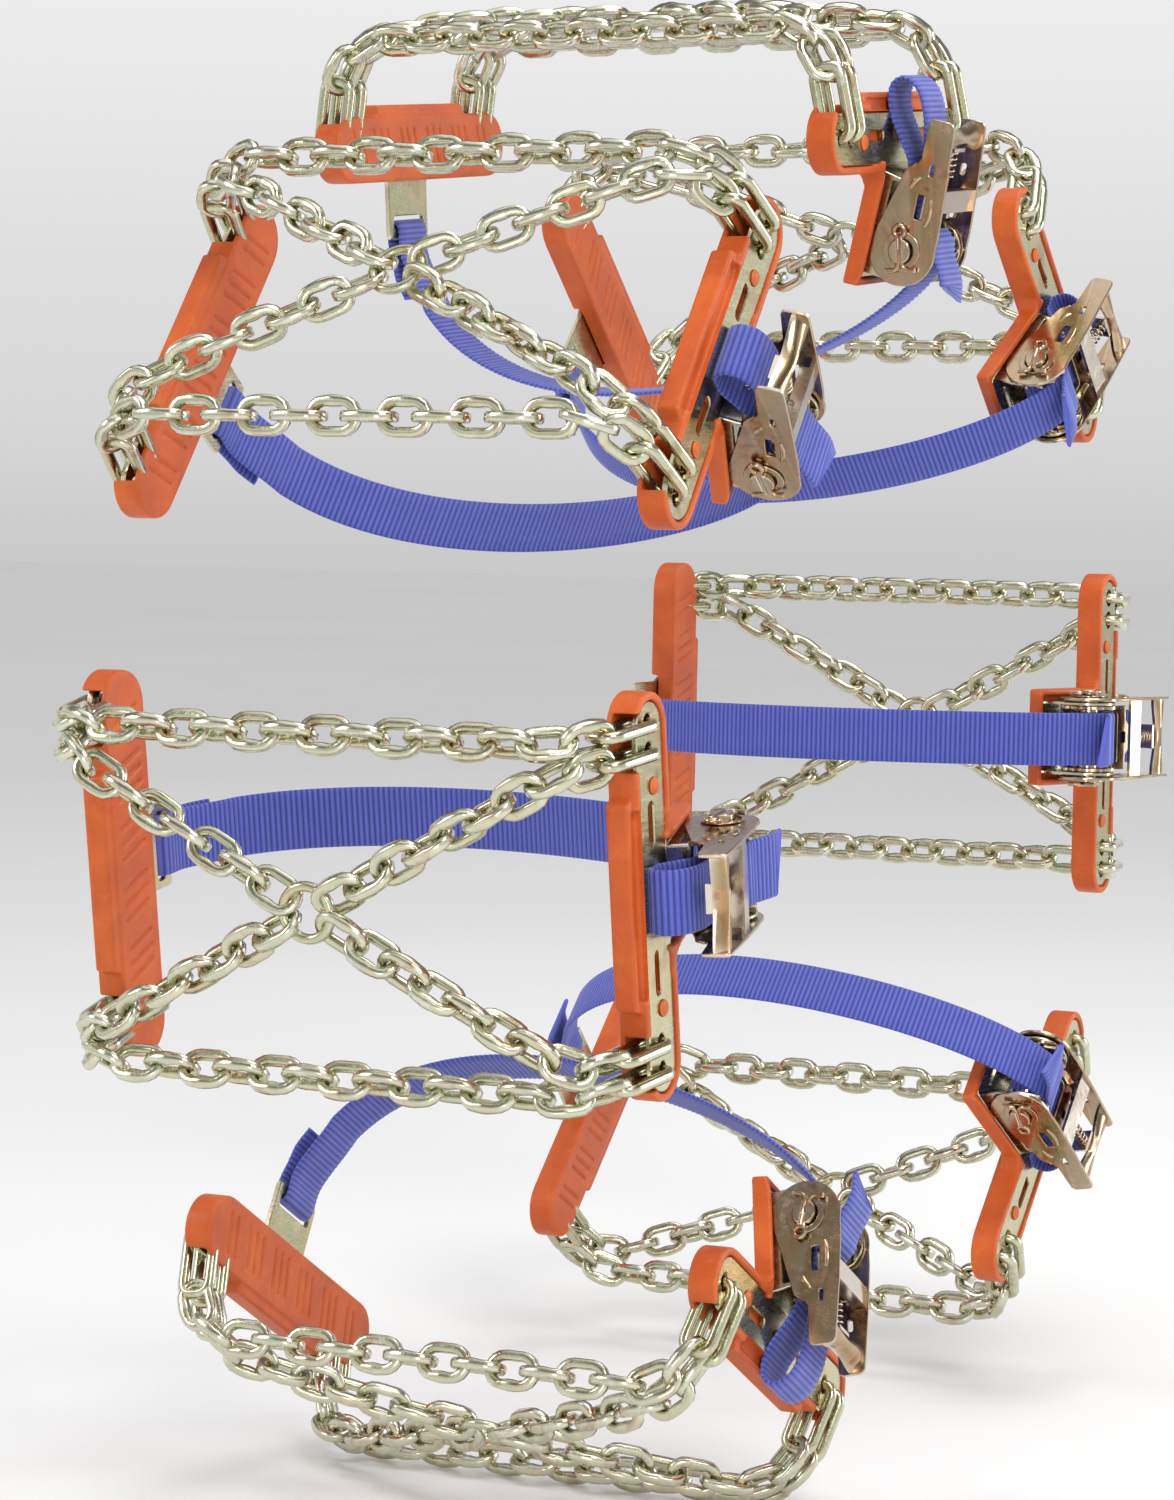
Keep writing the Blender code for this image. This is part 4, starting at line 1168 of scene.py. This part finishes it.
def webbing(path, low=-STRAP_HALF_WIDTH, high=STRAP_HALF_WIDTH, cut_end=0.0, wave=0.0, closed=False):
    """Ribbed webbing along a path in the X-Y plane, with its width along Z and a weave map in its UVs."""
    length = path_length(path)
    count = int(length / RIB_PITCH * RIB_STEPS)
    places = walk(path, [length * i / count for i in range(count + 1)])
    work = bmesh.new()
    weave = work.loops.layers.uv.new("weave")
    lanes = (0.0, 0.012, 0.045, 0.25, 0.5, 0.75, 0.955, 0.988, 1.0)
    half = STRAP_THICKNESS / 2
    top, bottom = [], []
    for i, (point, _) in enumerate(places):
        a = places[max(i - 2, 0)][0]
        b = places[min(i + 2, count)][0]
        tangent = (b - a).normalized()
        normal = Vector((-tangent.y, tangent.x, 0))
        rib = RIB_HEIGHT * math.cos(2 * math.pi * i / RIB_STEPS)
        sway = wave * math.sin(9.0 * i / count)
        rows = ([], [])
        for lane in lanes:
            edge = min(lane, 1 - lane)
            thin = 1.0 if edge > 0.03 else 0.55 if edge > 0.005 else 0.18
            t = low + (high - low) * lane + sway
            slide = cut_end * lane * max(0.0, (i / count - 0.75) / 0.25)
            for row, sign in zip(rows, (1, -1)):
                place = point + normal * sign * (half * thin + rib * thin) - tangent * slide
                row.append(work.verts.new((place.x, place.y, t)))
        top.append(rows[0])
        bottom.append(rows[1])
    across = len(lanes)

    def face(corners, marks):
        made = work.faces.new(corners)
        for loop, mark in zip(made.loops, marks):
            loop[weave].uv = mark

    for i in range(count):
        v0, v1 = i / RIB_STEPS, (i + 1) / RIB_STEPS
        for k in range(across - 1):
            u0, u1 = lanes[k], lanes[k + 1]
            marks = ((u0, v0), (u1, v0), (u1, v1), (u0, v1))
            face((top[i][k], top[i][k + 1], top[i + 1][k + 1], top[i + 1][k]), marks)
            face((bottom[i][k], bottom[i + 1][k], bottom[i + 1][k + 1], bottom[i][k + 1]),
                 ((u0, v0), (u0, v1), (u1, v1), (u1, v0)))
        for k, u in ((0, 0.0), (across - 1, 1.0)):
            face((top[i][k], top[i + 1][k], bottom[i + 1][k], bottom[i][k]),
                 ((u, v0), (u, v1), (u, v1), (u, v0)))
    for i, v in ((0, 0.0), (count, count / RIB_STEPS)):
        for k in range(across - 1):
            face((top[i][k], bottom[i][k], bottom[i][k + 1], top[i][k + 1]),
                 ((lanes[k], v), (lanes[k], v), (lanes[k + 1], v), (lanes[k + 1], v)))
    bmesh.ops.recalc_face_normals(work, faces=work.faces)
    mesh = bpy.data.meshes.new("webbing")
    work.to_mesh(mesh)
    work.free()
    return smooth(mesh, 80)


ROLL_INNER, ROLL_OUTER = 0.0062, 0.0097
ROLL_TURNS = 1.9
MAIN_LEAVES_DEG = 236.0


SLACK_REACH = (0.056, 0.054, 0.073, 0.052, 0.050, 0.052, 0.071)
SLACK_DRAWN = 0.0732


def make_strap(number):
    """Main run from the roll's outboard side through the wheel to the eye round the inner plate's bar."""
    shorten = SLACK_REACH[number - 1] / SLACK_DRAWN
    spiral = []
    steps = 60
    for i in range(steps + 1):
        s = i / steps
        a = math.radians(MAIN_LEAVES_DEG + 360 * ROLL_TURNS * (1 - s))
        radius = ROLL_INNER + (ROLL_OUTER - ROLL_INNER) * s
        spiral.append(Vector((SPOOL.x + radius * math.cos(a), SPOOL.y + radius * math.sin(a), 0)))
    leave = spiral[-1]
    heading = Vector((-math.sin(math.radians(MAIN_LEAVES_DEG)) * -1, math.cos(math.radians(MAIN_LEAVES_DEG)) * -1, 0))
    end_x = BAR_INNER_X - INNER_STEM_LENGTH
    plate_y = PLATE_FACE_Y - PLATE_THICKNESS / 2
    reach = PLATE_THICKNESS / 2 + STRAP_THICKNESS / 2 + 0.0006
    eye_in = Vector((end_x - 0.0030, plate_y - reach, 0))
    main = bezier(leave, leave + heading * 0.060, Vector((0.128, 0.058, 0)), eye_in + Vector((-0.030, -0.012, 0)), 40)
    main += bezier(main[-1], main[-1] + Vector((0.012, 0.0045, 0)), eye_in - Vector((0.008, 0.0, 0)), eye_in, 8)[1:]
    eye = [(0.0030, -reach), (0.0062, -reach * 0.75), (0.0078, 0.0), (0.0062, reach * 0.75), (0.0030, reach),
           (-0.0030, reach), (-0.0110, reach * 0.35), (-0.0185, -reach * 0.15), (-0.0270, -0.0046)]
    loop = [eye_in] + [Vector((end_x + dx, plate_y + dy, 0)) for dx, dy in eye]
    path = spiral[:-1] + main + rounded_path(loop, 5)[1:]
    slack_points = [
        (0.0090, -0.0012), (0.0160, -0.0016), (0.0270, -0.0016), (0.0380, -0.0012), (0.0480, 0.0026),
        (0.0600, 0.0072), (0.0700, 0.0066), (0.0732, 0.0008), (0.0680, -0.0056), (0.0560, -0.0086),
        (0.0420, -0.0080), (0.0300, -0.0060), (0.0190, -0.0050), (0.0125, -0.0045), (0.0100, -0.0040),
    ]
    slack = rounded_path([SPOOL + Vector((dx * shorten, dy, 0)) for dx, dy in slack_points], 6)
    return joined_webbing([webbing(path), webbing(slack, wave=0.0003)])


SEAM_RISE = (0.0024, 0.0010, -0.0004)
STITCH_ROWS = (0.0125, 0.0165, 0.0205)
STITCHES = 8


def make_stitches():
    """Thread across the webbing where it is sewn back on itself beside the inner plate."""
    end_x = BAR_INNER_X - INNER_STEM_LENGTH
    plate_y = PLATE_FACE_Y - PLATE_THICKNESS / 2
    threads = []
    for run, back in enumerate(STITCH_ROWS):
        for i in range(STITCHES):
            t = -STRAP_HALF_WIDTH * 0.86 + 2 * STRAP_HALF_WIDTH * 0.86 * (i + 0.5) / STITCHES
            middle = Vector((end_x - back, plate_y + SEAM_RISE[run], t))
            half = Vector((0.0002, 0, 0.00095))
            threads.append(capsule(middle - half, middle + half, 0.00032, Vector((0, 1, 0)), 8))
    return smooth(joined(threads), 60)


def joined_webbing(meshes):
    objs = [temporary(mesh) for mesh in meshes]
    with bpy.context.temp_override(active_object=objs[0], selected_editable_objects=objs):
        bpy.ops.object.join()
    mesh = objs[0].data.copy()
    bpy.data.objects.remove(objs[0], do_unlink=True)
    return mesh


def make_strap_tail():
    """The cut end of the webbing, leaving the roll on its outboard side and standing clear of the handle."""
    points = [(0.0098, 0.0062), (0.0060, 0.0100), (0.0, 0.0120), (-0.0050, 0.0150), (-0.0110, 0.0180), (-0.0196, 0.0194)]
    path = rounded_path([handle_point(a, b) for a, b in points], 6)
    return webbing(path, cut_end=0.009)


# ---------------------------------------------------------------- build
SHARED_PIECES = (
    ("ring", make_ring, "fitted_set", "chain_steel", ()),
    ("hooks", make_hooks, "fitted_set", "chain_steel", ()),
    ("outer_plate_look", make_outer_plate, "fitted_set", "plate_steel", ("outer_plate",)),
    ("inner_plate_look", make_inner_plate, "fitted_set", "plate_steel", ("inner_plate",)),
    ("outer_pad_look", make_outer_pad, "fitted_set", "orange_rubber", ("outer_pad",)),
    ("inner_pad_look", make_inner_pad, "fitted_set", "orange_rubber", ("inner_pad",)),
    ("pad_buttons", make_buttons, "fitted_set", "orange_rubber", ()),
    ("strap_tail", make_strap_tail, "fitted_set", "blue_webbing", ()),
    ("strap_stitches", make_stitches, "fitted_set", "blue_webbing", ()),
    ("handle_look", make_handle, "handle", "ratchet_steel", ("ratchet_handle",)),
    ("spool_look", make_spool, "spool", "ratchet_steel", ("ratchet_spool",)),
)
for name, make, body, material, stands_for in SHARED_PIECES:
    mesh = make()
    for number in range(1, 8):
        rides = body if body == "fitted_set" else f"{body}_{number}"
        put(name, mesh, number, rides, material, [f"{node}_{number}" for node in stands_for])
for number in range(1, 8):
    put("chains", make_chains(number), number, "fitted_set", "chain_steel", [f"chain_net_{number}"], False)
    put("strap_look", make_strap(number), number, "fitted_set", "blue_webbing", [f"strap_{number}"], False)

drive_pawl, lock_pawl = make_drive_pawl(), make_lock_pawl()
drive_spring = coil(*DRIVE_SPRING, 5, 0.0027, 0.00045)
lock_spring = coil(*LOCK_SPRING, 5, 0.0025, 0.00045)
for number in range(1, 8):
    moving = number == 1
    put("drive_pawl_look", drive_pawl, number, "drive_pawl" if moving else f"handle_{number}", "ratchet_steel",
        ["drive_pawl_1"] if moving else ())
    put("lock_pawl_look", lock_pawl, number, "lock_pawl" if moving else "fitted_set", "ratchet_steel",
        ["lock_pawl_1"] if moving else ())
    drive = put("drive_spring_look", drive_spring, number, f"handle_{number}", "ratchet_steel",
                ["drive_spring_1"] if moving else ())
    lock = put("lock_spring_look", lock_spring, number, "fitted_set", "ratchet_steel",
               ["lock_spring_1"] if moving else ())
    if moving:
        for spring, joint, (start, end) in (
            (drive, "drive_pawl_slide", DRIVE_SPRING), (lock, "lock_pawl_slide", LOCK_SPRING),
        ):
            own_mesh(spring)

# ---------------------------------------------------------------- floor, light and camera
FLOOR_Z = cad_box[0][2] - 0.001
floor_mesh = bpy.data.meshes.new("floor")
reach = 12.0
floor_mesh.from_pydata([(-reach, -reach, FLOOR_Z), (reach, -reach, FLOOR_Z), (reach, reach, FLOOR_Z),
                        (-reach, reach, FLOOR_Z)], [], [(0, 1, 2, 3)])
floor_mesh.materials.append(floor_material())
floor = bpy.data.objects.new("floor", floor_mesh)
bpy.context.scene.collection.objects.link(floor)


def soft_light(name, place, aim, size, power, colour=(1.0, 1.0, 1.0)):
    data = bpy.data.lights.new(name, "AREA")
    data.shape, data.size, data.size_y = "RECTANGLE", size[0], size[1]
    data.energy, data.color = power, colour
    lamp = bpy.data.objects.new(name, data)
    lamp.location = place
    lamp.rotation_euler = (Vector(aim) - Vector(place)).to_track_quat("-Z", "Y").to_euler()
    bpy.context.scene.collection.objects.link(lamp)


soft_light("key", (-1.6, -1.9, 1.9), (0, 0, 0), (1.1, 1.1), 36.0, (1.0, 0.98, 0.95))
soft_light("top", (0.2, -0.4, 2.2), (0, 0, 0), (1.4, 1.0), 20.0)
soft_light("side", (1.6, -2.0, 0.5), (0, 0, 0), (0.6, 1.5), 18.0, (0.96, 0.98, 1.0))
soft_light("back", (-1.4, 1.8, 1.2), (0, 0, 0), (0.9, 0.9), 15.0)
soft_light("low", (-1.9, -0.6, -0.1), (0, 0, 0), (0.4, 0.6), 3.5)

world = bpy.data.worlds.new("studio")
world.use_nodes = True
tree = world.node_tree
background = tree.nodes["Background"]
coords = tree.nodes.new("ShaderNodeTexCoord")
parts = tree.nodes.new("ShaderNodeSeparateXYZ")
shade = tree.nodes.new("ShaderNodeValToRGB")
tree.links.new(coords.outputs["Generated"], parts.inputs["Vector"])
lift = tree.nodes.new("ShaderNodeMath")
lift.operation = "MULTIPLY_ADD"
lift.inputs[1].default_value, lift.inputs[2].default_value = 0.5, 0.5
tree.links.new(parts.outputs["Z"], lift.inputs[0])
tree.links.new(lift.outputs["Value"], shade.inputs["Fac"])
stops = shade.color_ramp.elements
stops[0].position, stops[0].color = 0.40, (0.10, 0.10, 0.10, 1)
stops[1].position, stops[1].color = 0.50, (0.66, 0.66, 0.66, 1)
for place, value in ((0.56, 0.86), (0.66, 0.95), (0.73, 0.22), (0.88, 0.26), (0.94, 1.15)):
    stop = stops.new(place)
    stop.color = (value, value, value, 1)
tree.links.new(shade.outputs["Color"], background.inputs["Color"])
background.inputs["Strength"].default_value = 1.0
bpy.context.scene.world = world

CAMERA_AZIMUTH, CAMERA_ELEVATION = math.radians(-65.44), math.radians(4.05)
CAMERA_DISTANCE, CAMERA_ROLL = 1.8285, math.radians(0.83)
camera_data = bpy.data.cameras.new("camera")
camera_data.sensor_width = 36.0
camera_data.lens = 96.96
camera_data.shift_x, camera_data.shift_y = -0.0487, -0.003
camera = bpy.data.objects.new("camera", camera_data)
level = math.cos(CAMERA_ELEVATION)
camera.location = Vector((
    math.sin(CAMERA_AZIMUTH) * level, -math.cos(CAMERA_AZIMUTH) * level, math.sin(CAMERA_ELEVATION),
)) * CAMERA_DISTANCE
aim = (-camera.location).to_track_quat("-Z", "Y").to_matrix().to_4x4()
camera.rotation_euler = (aim @ Matrix.Rotation(CAMERA_ROLL, 4, "Z")).to_euler()
bpy.context.scene.collection.objects.link(camera)
bpy.context.scene.camera = camera
bpy.context.scene.view_settings.view_transform = "Standard"
